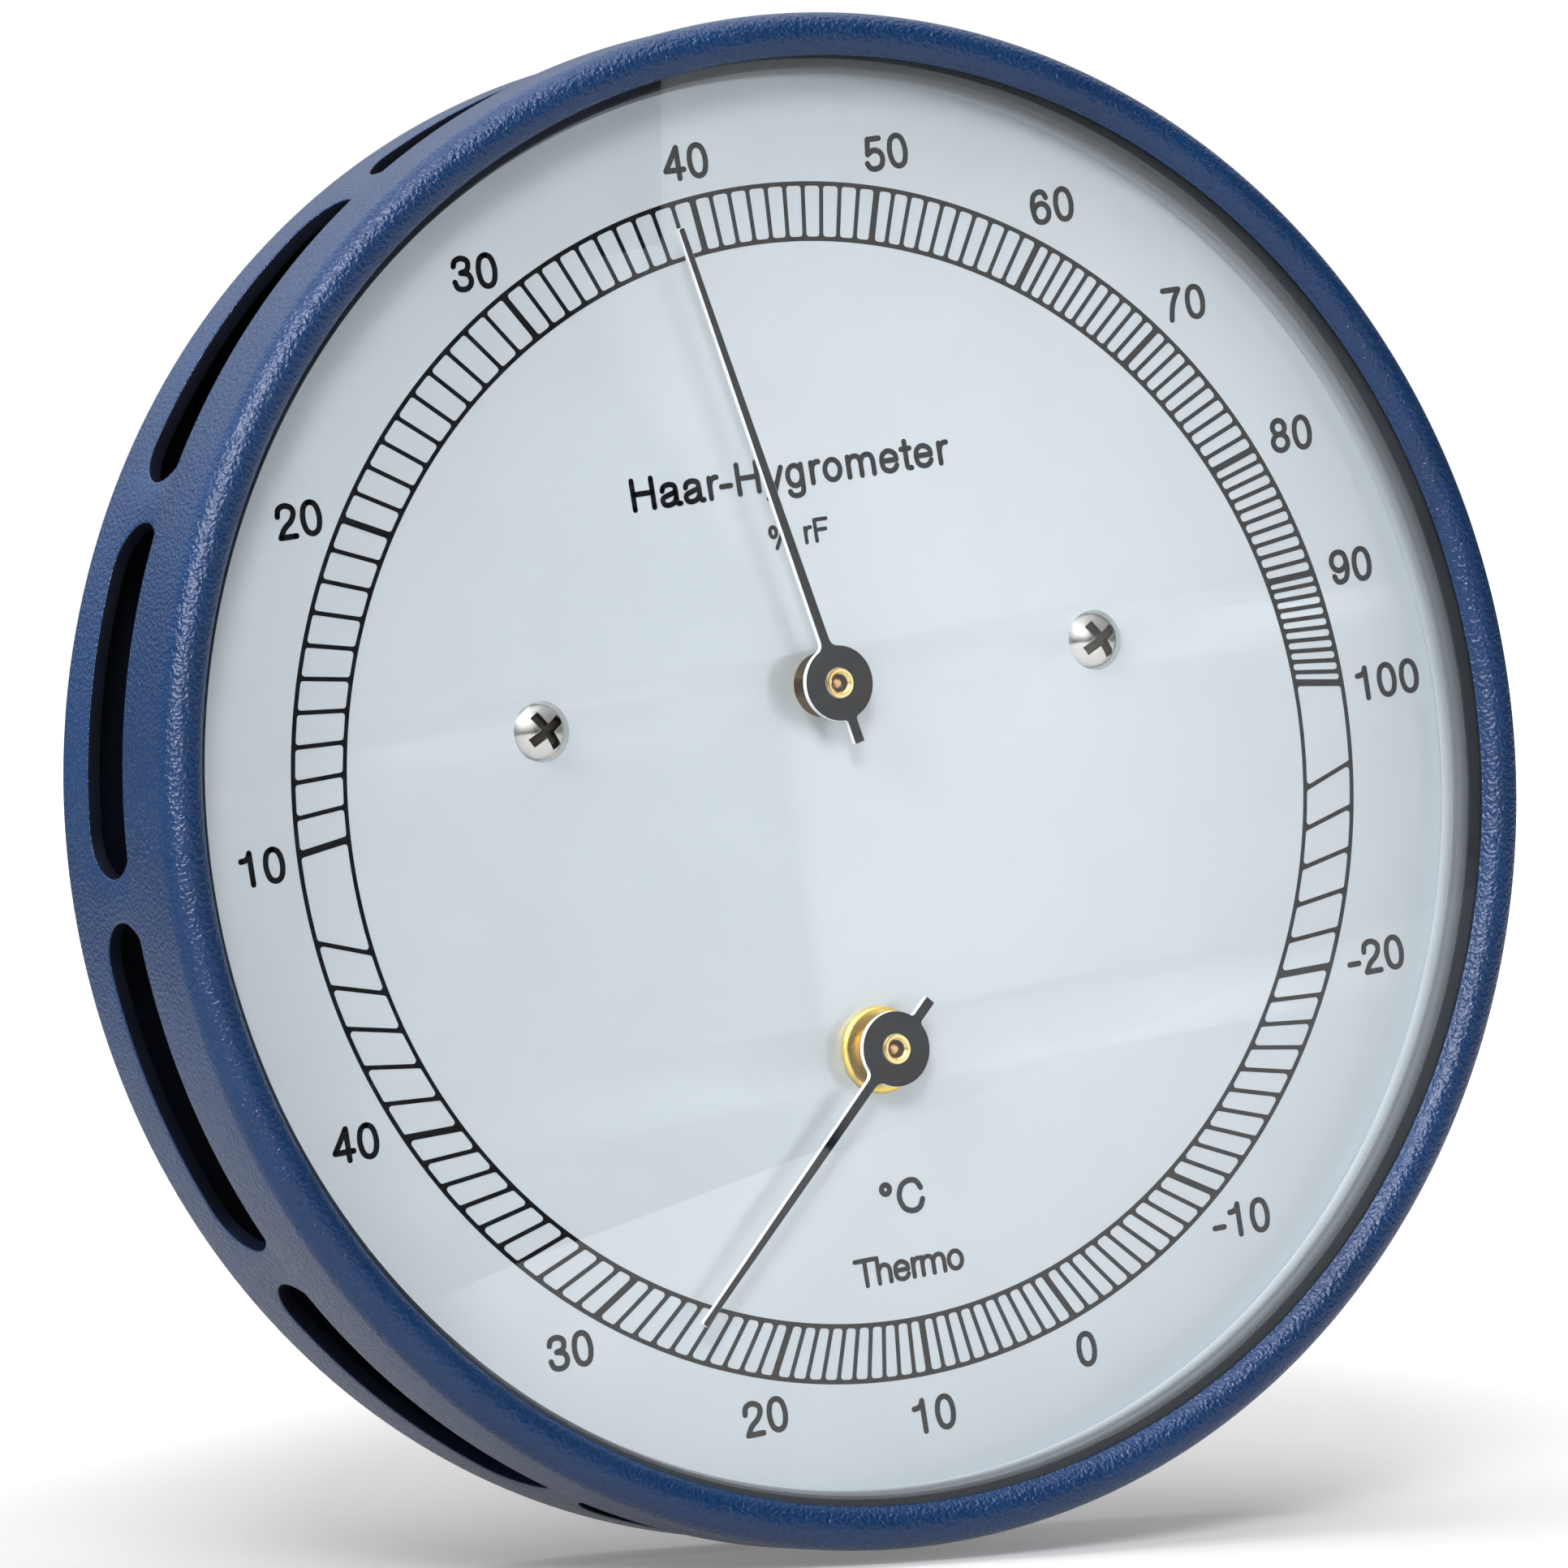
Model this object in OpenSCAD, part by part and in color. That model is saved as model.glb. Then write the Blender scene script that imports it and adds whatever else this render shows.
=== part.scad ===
// Round hair hygrometer with a bimetal thermometer, for hanging on a wall.
// Millimetres. The dial faces -Y and +Z is up. The origin lies on the case's axis, on the wall.
// Every piece is drawn as it is seen from the front: x to the right, y up, and z is its
// distance in front of the wall. front() turns that drawing into the part's own frame.

/* [Case] */
// Outer radius of the case
case_r = 51; // [49:0.5:60]
// Thickness of the case's wall
case_wall = 1; // [0.6:0.1:1.4]
// Radius of the rounded rear corner
corner_r = 1.5; // [1.5:0.1:3]
// Number of vent slots round the case
slot_count = 12; // [6:1:14]
// Width of a vent slot, from back to front
slot_w = 6.3; // [5.6:0.1:8]
// Distance from the wall to the rear edge of the slots
slot_rear = 5.1; // [4:0.1:8]
// Width of the web between two slots
web_w = 2.9; // [2:0.1:6]
// Plain band of the case in front of the slots, behind the seat ring
seat_land = 0.6; // [0.4:0.1:2]
// Height of the hanging hole above the case's axis
keyhole_y = 34; // [33.5:0.5:38]
// Radius of the hanging hole that a screw head goes through
keyhole_r = 3.5; // [3:0.1:4]
// Width of the hanging slot above that hole
keyhole_slot_w = 3.6; // [3:0.1:4]
// Length of the hanging slot
keyhole_slot_l = 6; // [5:0.5:8]

/* [Bezel and glass] */
// Thickness of the bezel's sleeve
sleeve_t = 0.5; // [0.4:0.1:1]
// Distance from the front of the slots to the rear edge of the bezel
sleeve_land = 0.5; // [0.2:0.1:0.5]
// Radius of the bead round the front of the bezel
bead_r = 1.55; // [1.3:0.05:1.9]
// Height of the bead in front of the glass
lip_h = 1; // [0.8:0.05:1.2]
// Radial gap between the case and what slips into or over it
slip = 0.05; // [0.02:0.01:0.1]
// Thickness of the glass
glass_t = 1.2; // [1:0.1:2]
// Gap round the edge of the glass
glass_gap = 0.35; // [0.2:0.05:0.5]
// Thickness of the gasket behind the glass
gasket_t = 1.4; // [1.3:0.1:2.5]
// Radial width of the gasket
gasket_w = 2; // [1.5:0.1:2.2]
// Thickness of the spacer ring on the dial
spacer_t = 1.5; // [1.5:0.1:3]
// Radial width of the spacer ring
spacer_w = 2.3; // [1.8:0.1:3]
// Thickness of the seat ring behind the dial
seat_t = 1; // [0.8:0.1:2]
// Radial width of the seat ring
seat_w = 3; // [2:0.1:3.5]

/* [Dial] */
// Thickness of the dial plate
dial_t = 0.8; // [0.6:0.1:1.5]
// Height of the hygrometer's arbor above the case's axis
hygro_y = 6.55; // [5:0.05:8]
// Depth of the thermometer's arbor below the case's axis
thermo_drop = 18.3; // [17.5:0.1:20]
// Radius of the round hole in the dial behind the hygrometer's pointer
window_r = 2.15; // [1.5:0.05:2.5]
// Distance of each dial screw from the centre line
screw_x = 21.4; // [21:0.1:21.6]
// Radius of a dial screw's head
screw_head_r = 2.05; // [1.9:0.05:2.4]
// Height of a dial screw's head
screw_head_h = 1; // [0.8:0.1:1.3]
// Radius of a dial screw's shank
screw_r = 1; // [0.8:0.05:1.1]

/* [Pointers] */
// Thickness of both pointers
pointer_t = 0.45; // [0.3:0.05:0.5]
// Height of the pointers' backs above the dial
pointer_lift = 2; // [1.8:0.05:2.05]
// Radius of both pointers' hubs
hub_r = 2.55; // [2:0.05:3.5]
// Width of a pointer at its hub
needle_w = 0.75; // [0.5:0.05:1]
// Width of a pointer at its tip
tip_w = 0.45; // [0.3:0.05:0.5]
// Distance from arbor to tip on the hygrometer's pointer
hygro_reach = 32.3; // [25:0.1:36]
// Distance from arbor to tip on the thermometer's pointer
thermo_reach = 23.5; // [18:0.1:26]
// Distance from arbor to the end of either tail
tail_reach = 4.26; // [3.8:0.02:6]
// Angle of the hygrometer's pointer from straight up, towards the left
hygro_angle = 11.7; // [0:0.1:30]
// Angle of the thermometer's pointer from straight down, towards the left
thermo_angle = 47.9; // [0:0.1:60]
// Radius of the brass bush in a pointer's hub
bush_r = 1.03; // [0.9:0.01:1.2]
// How far that bush stands out of the hub
bush_proud = 0.15; // [0:0.05:0.2]
// Radius of the collar behind the pointer
collar_r = 1.6; // [1.3:0.05:1.9]
// Length of that collar
collar_h = 1; // [0.6:0.1:1.2]

/* [Movement] */
// Thickness of the two movement plates
plate_t = 1; // [0.8:0.1:1.2]
// Gap between the rear wall and the back plate
plate_lift = 2; // [1.5:0.1:2]
// Gap between the front plate and the dial
dial_lift = 3; // [2.8:0.1:3.1]
// Width of the back plate's arms
back_w = 11; // [10:0.5:12]
// Width of the back plate's short arms
back_arm_w = 9; // [8:0.5:10]
// Width of the front plate's arms
front_w = 8; // [7:0.5:9]
// Radius of the pillars
pillar_r = 2; // [1.7:0.1:2.1]
// Distance of the side pillars from the centre line
pillar_x = 26.8; // [26.4:0.1:28]
// Place of the top pillar, across and up from the hygrometer's arbor
top_pillar = [6, 17.6];
// Radius of the shank of the plate screws
plate_screw_r = 0.8; // [0.6:0.05:0.9]
// Radius of the head of the plate screws
plate_head_r = 1.9; // [1.6:0.05:2]
// Height of the head of the plate screws
plate_head_h = 0.9; // [0.7:0.1:1.2]
// Depth of the plate screws in their pillars
plate_screw_l = 3; // [2:0.5:3.5]
// Radius of the studs on the rear wall
stud_r = 1.25; // [1:0.05:1.4]
// Radius of the studs' collars
stud_collar_r = 2.6; // [2:0.1:3]
// How far the studs stand out of their nuts
stud_end = 0.3; // [0.1:0.1:0.4]
// Height of the nuts on the studs
nut_h = 1.5; // [1:0.1:1.6]
// Radius of the nuts over their corners
nut_r = 2.6; // [2:0.1:2.8]
// Distance from the adjusting lever's pivot across to the left stud
left_stud_x = 7; // [6.5:0.1:7.5]
// Least gap between that stud's nut and the left pillar
stud_gap = 0.7; // [0.4:0.1:1]
// Place of the right stud, across and up from the hygrometer's arbor
right_stud = [14, -2];
// Height of the top stud above the hygrometer's arbor
top_stud_y = 10.8; // [10:0.1:11.5]

/* [Gears and arbors] */
// Module of the teeth
tooth_module = 0.35; // [0.34:0.01:0.36]
// Number of teeth on the pinion
pinion_teeth = 10; // [10:1:12]
// Number of teeth that the sector would have as a full wheel
wheel_teeth = 100; // [96:1:104]
// Number of teeth cut on the sector, an odd number
cut_teeth = 13; // [11:2:13]
// Profile shift that widens the pinion's teeth and narrows the sector's
shift = 0.4; // [0.3:0.05:0.4]
// Play between the teeth
backlash = 0.05; // [0.04:0.01:0.1]
// Direction from the pinion to the sector's arbor, up from the right
sector_dir = 24.6; // [22:0.1:27]
// Gap between the back plate and the sector
sector_lift = 2.2; // [2.1:0.1:2.4]
// Thickness of the sector
sector_t = 1; // [0.8:0.1:1.4]
// Radial width of the sector's toothed rim
rim_w = 1.6; // [1.2:0.1:2.5]
// Width of the sector's arms
arm_w = 2.4; // [1.6:0.1:3]
// Radius of the sector's hub
sector_hub_r = 2.4; // [1.8:0.1:2.6]
// Radius of the pointer arbors
arbor_r = 0.6; // [0.5:0.05:0.7]
// Radius of the sector's arbor
sector_arbor_r = 0.8; // [0.6:0.05:1]
// Radial clearance of arbors and pivots in their holes
running = 0.05; // [0.02:0.01:0.08]

/* [Hair and its adjuster] */
// Distance from the sector's arbor down to the hair
lever_arm = 3.75; // [3.6:0.05:4.5]
// Radius of the bundle of hair
hair_r = 0.45; // [0.35:0.05:0.55]
// Number of strands drawn round the middle one
strand_count = 6; // [5:1:6]
// Distance from the case's wall in to the adjusting lever
lever_inset = 12; // [11:0.5:14]
// Depth of the adjusting lever's pivot below the hair
pivot_drop = 9.3; // [8:0.1:10]
// Depth of the adjusting screw's axis below the lever's pivot
adjuster_drop = 7.5; // [7.2:0.1:8.5]
// Offset of the eccentric pin
eccentric = 0.8; // [0.6:0.05:0.9]
// Radius of the eccentric pin
ecc_pin_r = 0.7; // [0.5:0.05:0.8]
// Gap round the adjusting screw in the rear wall
key_gap = 0.6; // [0.4:0.1:1]
// Radius of the adjusting screw
adjuster_r = 1.9; // [1.8:0.05:2.1]
// Width of the adjusting lever
lever_w = 4.4; // [4:0.1:5]
// Thickness of the adjusting lever
lever_t = 0.9; // [0.7:0.1:1]
// How far the lever's fork reaches past the eccentric pin
fork_reach = 2.2; // [1.8:0.1:2.6]
// Radius of the adjusting lever's pivot
pivot_r = 1.2; // [1:0.05:1.4]
// Length of a hair clip along the hair
clip_l = 3.2; // [2.4:0.1:3.6]
// Height of a hair clip across the hair
clip_w = 2.2; // [2:0.1:2.4]

/* [Springs] */
// Turns of the hairspring
hairspring_turns = 5; // [3:1:6]
// Radius of the hairspring's collet
collet_r = 1.5; // [1.2:0.1:1.8]
// Outer radius of the hairspring
hairspring_r = 6; // [5:0.1:6.5]
// Thickness of the hairspring's wire
hairspring_t = 0.15; // [0.1:0.05:0.2]
// Turns of the bimetal spiral
bimetal_turns = 5; // [3:1:6]
// Outer radius of the bimetal spiral
bimetal_r = 9.4; // [8:0.1:9.8]
// Thickness of the bimetal strip
bimetal_t = 0.4; // [0.2:0.05:0.5]
// Width of the bimetal strip
bimetal_w = 3; // [2:0.1:3.2]

/* [Thermometer bush] */
// Radius of the bush's flange on the dial
flange_r = 2.95; // [2.6:0.05:3.5]
// Height of that flange
flange_h = 0.55; // [0.4:0.05:0.7]
// Radius of the bush's sleeve
thermo_sleeve_r = 2; // [1.6:0.05:2.2]
// Thickness of the carrier behind the dial
carrier_t = 0.8; // [0.6:0.1:1]
// Height of the nut on the bush
thermo_nut_h = 1.4; // [1:0.1:1.6]
// Radius of that nut over its corners
thermo_nut_r = 3.6; // [3:0.1:4]

/* [Hidden] */
$fn = 96;

// Distances in front of the wall, from the back to the front
slot_front = slot_rear + slot_w;
seat_z = slot_front + seat_land;
dial_back = seat_z + seat_t;
dial_z = dial_back + dial_t;
gasket_z = dial_z + spacer_t;
glass_z = gasket_z + gasket_t;
lip_z = glass_z + glass_t;
bead_z = lip_z + lip_h - bead_r;
bezel_rear = slot_front + sleeve_land;
rim_gap = 0.2;
case_front = glass_z - rim_gap;
back_z = case_wall + plate_lift;
between_z = back_z + plate_t;
front_z = dial_back - dial_lift - plate_t;
pointer_z = dial_z + pointer_lift;

// Radii that fit one another
inner_r = case_r - case_wall;
loose_r = inner_r - 2 * slip;
bore_r = case_r + slip;
bezel_r = bore_r + sleeve_t;
glass_r = case_r - glass_gap;
lever_x = inner_r - lever_inset;

// Gears: both wheels share the pressure angle, and their shifts cancel
pressure = 20;
root_depth = 1.25;
tip_height = 0.85;
pinion_r = tooth_module * pinion_teeth / 2;
wheel_r = tooth_module * wheel_teeth / 2;
tooth_pitch = 360 / wheel_teeth;
centre_distance = pinion_r + wheel_r;

// Places on the dial's plane
hygro = [0, hygro_y];
thermo = [0, -thermo_drop];
sector_at = hygro + centre_distance * [cos(sector_dir), sin(sector_dir)];
left_pillar = [-pillar_x, hygro_y];
right_pillar = [pillar_x, hygro_y];
high_pillar = hygro + top_pillar;
pillar_places = [left_pillar, right_pillar, high_pillar];
arm_foot = [top_pillar[0], hygro_y];
arm_turn = [top_pillar[0], sector_at[1]];
hair_y = sector_at[1] - lever_arm;
lever_pivot_at = [-lever_x, hair_y - pivot_drop];
adjuster_at = lever_pivot_at - [0, adjuster_drop];
left_stud_in = left_stud_x - lever_x + pillar_x;
left_stud_down = sqrt(max(pow(nut_r + pillar_r + stud_gap, 2) - pow(left_stud_in, 2), 0));
left_stud = left_pillar + [left_stud_in, -left_stud_down];
stud_places = [left_stud, hygro + right_stud, [top_pillar[0], hygro_y + top_stud_y]];

// Distances from the wall inside the movement
sector_z = between_z + sector_lift;
sector_top = sector_z + sector_t;
hub_rise = 0.6;
pinion_h = sector_t + 1.4;
pinion_z = sector_z - 0.7;
hair_z = sector_top + 0.8;
clip_top = hair_z + 0.8;
lever_z = between_z + 1;
lever_top = lever_z + lever_t;
lift = 0.05;
spring_z = between_z + 0.7;
spring_w = 0.4;

// Distances from the wall inside the thermometer
carrier_z = dial_back - carrier_t;
thermo_nut_z = carrier_z - thermo_nut_h;
bimetal_z = thermo_nut_z - 1 - bimetal_w;
tab_t = 0.8;

steel = "silver";
brass = "goldenrod";
paint = "midnightblue";

module front() {
    rotate([90, 0, 0]) children();
}

// How far a cutting shape runs past what it cuts
over = 1;

// A cylinder that starts at z and is h long
module rod(r, z, h) {
    translate([0, 0, z]) cylinder(r = r, h = h);
}

// A ring that starts at z and is h long
module ring(outer, inner, z, h) {
    translate([0, 0, z]) linear_extrude(h) difference() {
        circle(outer);
        circle(inner);
    }
}

// A flat bar from a to b with round ends
module bar(a, b, w) {
    translate(a) circle(d = w);
    translate(b) circle(d = w);
    translate(a) rotate(atan2(b[1] - a[1], b[0] - a[0])) translate([0, -w / 2]) square([norm(b - a), w]);
}

// Half of the angle that a tooth takes up at radius r
function half_tooth(r, teeth, x) =
    let (pitch_r = tooth_module * teeth / 2,
         base_r = pitch_r * cos(pressure),
         a = acos(min(1, base_r / max(r, base_r))),
         at_pitch = (90 + (360 * x * tan(pressure) - 180 * backlash / tooth_module) / PI) / teeth)
    at_pitch + involute(pressure) - involute(a);

function involute(a) = tan(a) * 180 / PI - a;

// One tooth that points along +x, drawn from inside its root
function tooth(teeth, x) =
    let (pitch_r = tooth_module * teeth / 2,
         root = pitch_r - tooth_module * (root_depth - x),
         tip = pitch_r + tooth_module * (tip_height + x),
         steps = 6,
         radii = [for (i = [0:steps]) root + (tip - root) * i / steps])
    concat([[root * 0.97 * cos(half_tooth(root, teeth, x)), -root * 0.97 * sin(half_tooth(root, teeth, x))]],
        [for (r = radii) [r * cos(half_tooth(r, teeth, x)), -r * sin(half_tooth(r, teeth, x))]],
        [for (i = [steps:-1:0]) [radii[i] * cos(half_tooth(radii[i], teeth, x)),
            radii[i] * sin(half_tooth(radii[i], teeth, x))]],
        [[root * 0.97 * cos(half_tooth(root, teeth, x)), root * 0.97 * sin(half_tooth(root, teeth, x))]]);

// A flat spiral strip whose inner face starts at radius inner and whose outer face ends at radius outer
module spiral(inner, outer, turns, t) {
    steps = turns * 24;
    r0 = inner + t / 2;
    r1 = outer - t / 2;
    polygon(concat(
        [for (i = [0:steps]) (r0 + (r1 - r0) * i / steps + t / 2) * [cos(i * 15), sin(i * 15)]],
        [for (i = [steps:-1:0]) (r0 + (r1 - r0) * i / steps - t / 2) * [cos(i * 15), sin(i * 15)]]));
}

module case_shell() {
    slot_half = 180 / slot_count - web_w / 2 / case_r * 180 / PI;
    chord = case_r * sin(slot_half) - slot_w / 2;
    color(paint) front() difference() {
        rotate_extrude() difference() {
            union() {
                square([case_r - corner_r, case_front]);
                translate([0, corner_r]) square([case_r, case_front - corner_r]);
                translate([case_r - corner_r, corner_r]) circle(corner_r);
            }
            translate([0, case_wall]) square([case_r - corner_r, case_front]);
            translate([0, corner_r]) square([inner_r, case_front]);
            translate([case_r - corner_r, corner_r]) circle(corner_r - case_wall);
        }
        for (k = [0:slot_count - 1]) rotate((k + 0.5) * 360 / slot_count)
            translate([inner_r * 0.8, 0, slot_rear + slot_w / 2]) rotate([90, 0, 90])
                linear_extrude(case_r * 0.3) bar([-chord, 0], [chord, 0], slot_w);
        translate([0, keyhole_y, -over]) cylinder(r = keyhole_r, h = case_wall + 2 * over);
        translate([0, 0, -over]) linear_extrude(case_wall + 2 * over)
            bar([0, keyhole_y], [0, keyhole_y + keyhole_slot_l], keyhole_slot_w);
        translate([adjuster_at[0], adjuster_at[1], -over]) cylinder(r = adjuster_r + key_gap, h = case_wall + 2 * over);
    }
}

module bezel_ring() {
    color(paint) front() rotate_extrude() union() {
        difference() {
            translate([bezel_r - bead_r, bead_z]) circle(bead_r);
            square([bore_r, lip_z]);
        }
        translate([bore_r, bezel_rear]) square([sleeve_t, bead_z - bezel_rear]);
        difference() {
            translate([bore_r, bead_z]) square([sleeve_t, bead_r]);
            translate([bezel_r - bead_r, bead_z]) difference() {
                square(bead_r * 2);
                circle(bead_r);
            }
        }
    }
}

module glass() {
    color("lightcyan", 0.3) front() rod(glass_r, glass_z, glass_t);
}

module glass_gasket() {
    color("dimgray") front() ring(loose_r, loose_r - gasket_w, gasket_z, gasket_t);
}

module spacer_ring() {
    color("slategray") front() ring(loose_r, loose_r - spacer_w, dial_z, spacer_t);
}

module dial_seat_ring() {
    color("dimgray") front() ring(inner_r, inner_r - seat_w, seat_z, seat_t);
}

module dial_plate() {
    color("gainsboro") front() translate([0, 0, dial_back]) linear_extrude(dial_t) difference() {
        circle(loose_r);
        translate(hygro) circle(window_r);
        translate(thermo) circle(thermo_sleeve_r + slip);
        for (side = [-1, 1]) translate([side * screw_x, hygro_y]) circle(screw_r + slip);
    }
}

// Pan heads with a cross recess, and shanks that end inside the dial pillars
module dial_screws() {
    recess_l = screw_head_r * 1.3;
    recess_w = screw_head_r * 0.27;
    dome_r = (screw_head_r * screw_head_r + screw_head_h * screw_head_h) / (2 * screw_head_h);
    color(steel) front() for (side = [-1, 1]) translate([side * screw_x, hygro_y, 0]) {
        difference() {
            translate([0, 0, dial_z]) rotate_extrude() intersection() {
                translate([0, screw_head_h - dome_r]) circle(dome_r);
                square([screw_head_r, screw_head_h]);
            }
            rotate(30) for (turn = [0, 90]) rotate(turn)
                translate([-recess_l / 2, -recess_w / 2, dial_z + screw_head_h * 0.45])
                    cube([recess_l, recess_w, screw_head_h]);
        }
        rod(screw_r, dial_back - dial_lift * 0.8, dial_lift * 0.8 + dial_t);
    }
}

module dial_pillars() {
    color(brass) front() for (side = [-1, 1]) translate([side * screw_x, hygro_y, 0])
        ring(pillar_r + 0.2, screw_r + slip, front_z + plate_t, dial_lift);
}

module front_plate() {
    color(brass) front() translate([0, 0, front_z]) linear_extrude(plate_t) difference() {
        union() {
            bar(left_pillar, right_pillar, front_w);
            bar(arm_foot, high_pillar, front_w - 1);
            bar(arm_turn, sector_at, front_w + 1);
        }
        translate(hygro) circle(arbor_r + running);
        translate(sector_at) circle(sector_arbor_r + running);
        for (p = pillar_places) translate(p) circle(plate_screw_r + slip);
    }
}

module plate_pillars() {
    color(brass) front() for (p = pillar_places) translate(p) difference() {
        rod(pillar_r, between_z, front_z - between_z);
        rod(plate_screw_r + slip, front_z - plate_screw_l - slip, plate_screw_l + over);
    }
}

module plate_screws() {
    slot = 0.5;
    color(steel) front() for (p = pillar_places) translate(p) difference() {
        union() {
            rod(plate_head_r, front_z + plate_t, plate_head_h);
            rod(plate_screw_r, front_z - plate_screw_l, plate_screw_l + plate_t);
        }
        translate([-plate_head_r - over, -slot / 2, front_z + plate_t + plate_head_h / 2])
            cube([2 * (plate_head_r + over), slot, plate_head_h]);
    }
}

module back_plate() {
    color(brass) front() translate([0, 0, back_z]) linear_extrude(plate_t) difference() {
        union() {
            bar(left_pillar, right_pillar, back_w);
            bar(adjuster_at, lever_pivot_at, back_arm_w);
            bar(lever_pivot_at, left_pillar, back_w - 1);
            bar(arm_foot, high_pillar, back_arm_w);
            bar(arm_turn, sector_at, back_arm_w);
        }
        translate(hygro) circle(arbor_r + running);
        translate(sector_at) circle(sector_arbor_r + running);
        translate(adjuster_at) circle(adjuster_r + running);
        translate(lever_pivot_at) circle(pivot_r + slip);
        for (p = stud_places) translate(p) circle(stud_r + slip);
    }
}

module case_studs() {
    color(steel) front() for (p = stud_places) translate(p) {
        rod(stud_collar_r, case_wall, plate_lift);
        rod(stud_r, case_wall + plate_lift, plate_t + nut_h + stud_end);
    }
}

module stud_nuts() {
    color(steel) front() for (p = stud_places) translate(p) difference() {
        translate([0, 0, between_z]) cylinder(r = nut_r, h = nut_h, $fn = 6);
        rod(stud_r + slip, between_z - over, nut_h + 2 * over);
    }
}

// A plain arbor whose front end is turned down to a short point inside the pointer's bush
module arbor(z) {
    point = 0.25;
    sunk = 0.3;
    end_z = pointer_z + pointer_t + bush_proud - sunk;
    rod(arbor_r, z, end_z - point - z);
    translate([0, 0, end_z - point]) cylinder(r1 = arbor_r * 0.75, r2 = arbor_r * 0.5, h = point);
}

// Straight pointer that points along +y, with its hub and tail
module pointer(reach) {
    root = hub_r + 0.5;
    translate([0, 0, pointer_z]) linear_extrude(pointer_t) difference() {
        union() {
            circle(hub_r);
            polygon([[-needle_w / 2, 0], [needle_w / 2, 0], [tip_w / 2, reach], [-tip_w / 2, reach]]);
            polygon([[-needle_w / 2 - 0.4, hub_r - 0.15], [needle_w / 2 + 0.4, hub_r - 0.15],
                [needle_w / 2 - 0.02, root], [-needle_w / 2 + 0.02, root]]);
            translate([-needle_w / 2, -tail_reach]) square([needle_w, tail_reach]);
        }
        circle(bush_r);
    }
}

// Turned bush: its neck fills the pointer's hole, and its collar lies behind the hub
module pointer_bush() {
    ring(bush_r, arbor_r, pointer_z, pointer_t + bush_proud);
    ring(collar_r, arbor_r, pointer_z - collar_h, collar_h);
}

module hygro_arbor() {
    color(steel) front() translate(hygro) arbor(back_z);
}

module hygro_pinion() {
    root = pinion_r - tooth_module * (root_depth - shift);
    color(brass) front() translate(concat(hygro, pinion_z)) linear_extrude(pinion_h) difference() {
        union() {
            circle(root);
            for (k = [0:pinion_teeth - 1]) rotate(sector_dir + (k + 0.5) * 360 / pinion_teeth)
                polygon(tooth(pinion_teeth, shift));
        }
        circle(arbor_r);
    }
}

module hygro_pointer() {
    color("dimgray") front() translate(hygro) rotate(hygro_angle) pointer(hygro_reach);
}

module hygro_pointer_bush() {
    color(brass) front() translate(hygro) pointer_bush();
}

module hairspring() {
    color("gold") front() translate(concat(hygro, spring_z)) linear_extrude(spring_w)
        spiral(collet_r + 0.02, hairspring_r, hairspring_turns, hairspring_t);
}

module hairspring_collet() {
    color(brass) front() translate(hygro) ring(collet_r, arbor_r, spring_z - 0.3, spring_w + 0.6);
}

module hairspring_stud() {
    post_r = 0.6;
    color(brass) front() translate(hygro + [hairspring_r + post_r, 0])
        rod(post_r, between_z, spring_z + spring_w + 0.3 - between_z);
}

// The rest direction of the sector's middle tooth looks back at the pinion
module sector() {
    root = wheel_r - tooth_module * (root_depth + shift);
    half = (cut_teeth / 2) * tooth_pitch;
    far = 2 * root;
    mesh_dir = sector_dir + 180;
    color(brass) front() translate(concat(sector_at, sector_z)) difference() {
        union() {
            linear_extrude(sector_t) {
                rotate(mesh_dir) {
                    intersection() {
                        difference() {
                            circle(root);
                            circle(root - rim_w);
                        }
                        polygon([[0, 0], far * [cos(half), -sin(half)], far * [cos(half), sin(half)]]);
                    }
                    for (k = [-(cut_teeth - 1) / 2:(cut_teeth - 1) / 2]) rotate(k * tooth_pitch)
                        polygon(tooth(wheel_teeth, -shift));
                    for (side = [-1, 1]) bar([0, 0],
                        (root - rim_w / 2) * [cos(half * 0.8), side * sin(half * 0.8)], arm_w / 2);
                }
                bar([0, 0], [0, -lever_arm], arm_w);
            }
            rod(sector_hub_r, -hub_rise, sector_t + 2 * hub_rise);
        }
        rod(sector_arbor_r, -hub_rise - over, sector_t + 2 * (hub_rise + over));
    }
}

module sector_arbor() {
    color(steel) front() translate(sector_at) rod(sector_arbor_r, back_z, front_z + plate_t - back_z);
}

// A block round the end of the hair, which lies along x at hair_z
module hair_clip(z) {
    difference() {
        translate([-clip_l / 2, -clip_w / 2, z]) cube([clip_l, clip_w, clip_top - z]);
        translate([-clip_l, 0, hair_z]) rotate([0, 90, 0]) cylinder(r = hair_r + running, h = 2 * clip_l);
    }
}

module sector_hair_clip() {
    color(steel) front() translate([sector_at[0], hair_y, 0]) hair_clip(sector_top);
}

module lever_hair_clip() {
    color(steel) front() translate([-lever_x, hair_y, 0]) hair_clip(lever_top);
}

module hair_bundle() {
    strand_r = hair_r * 0.31;
    span = sector_at[0] + lever_x + clip_l;
    color("saddlebrown") front() translate([-lever_x - clip_l / 2, hair_y, hair_z]) rotate([0, 90, 0]) {
        cylinder(r = strand_r, h = span);
        for (k = [0:strand_count - 1]) rotate(k * 360 / strand_count)
            translate([hair_r - strand_r, 0, 0]) cylinder(r = strand_r, h = span);
    }
}

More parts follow.
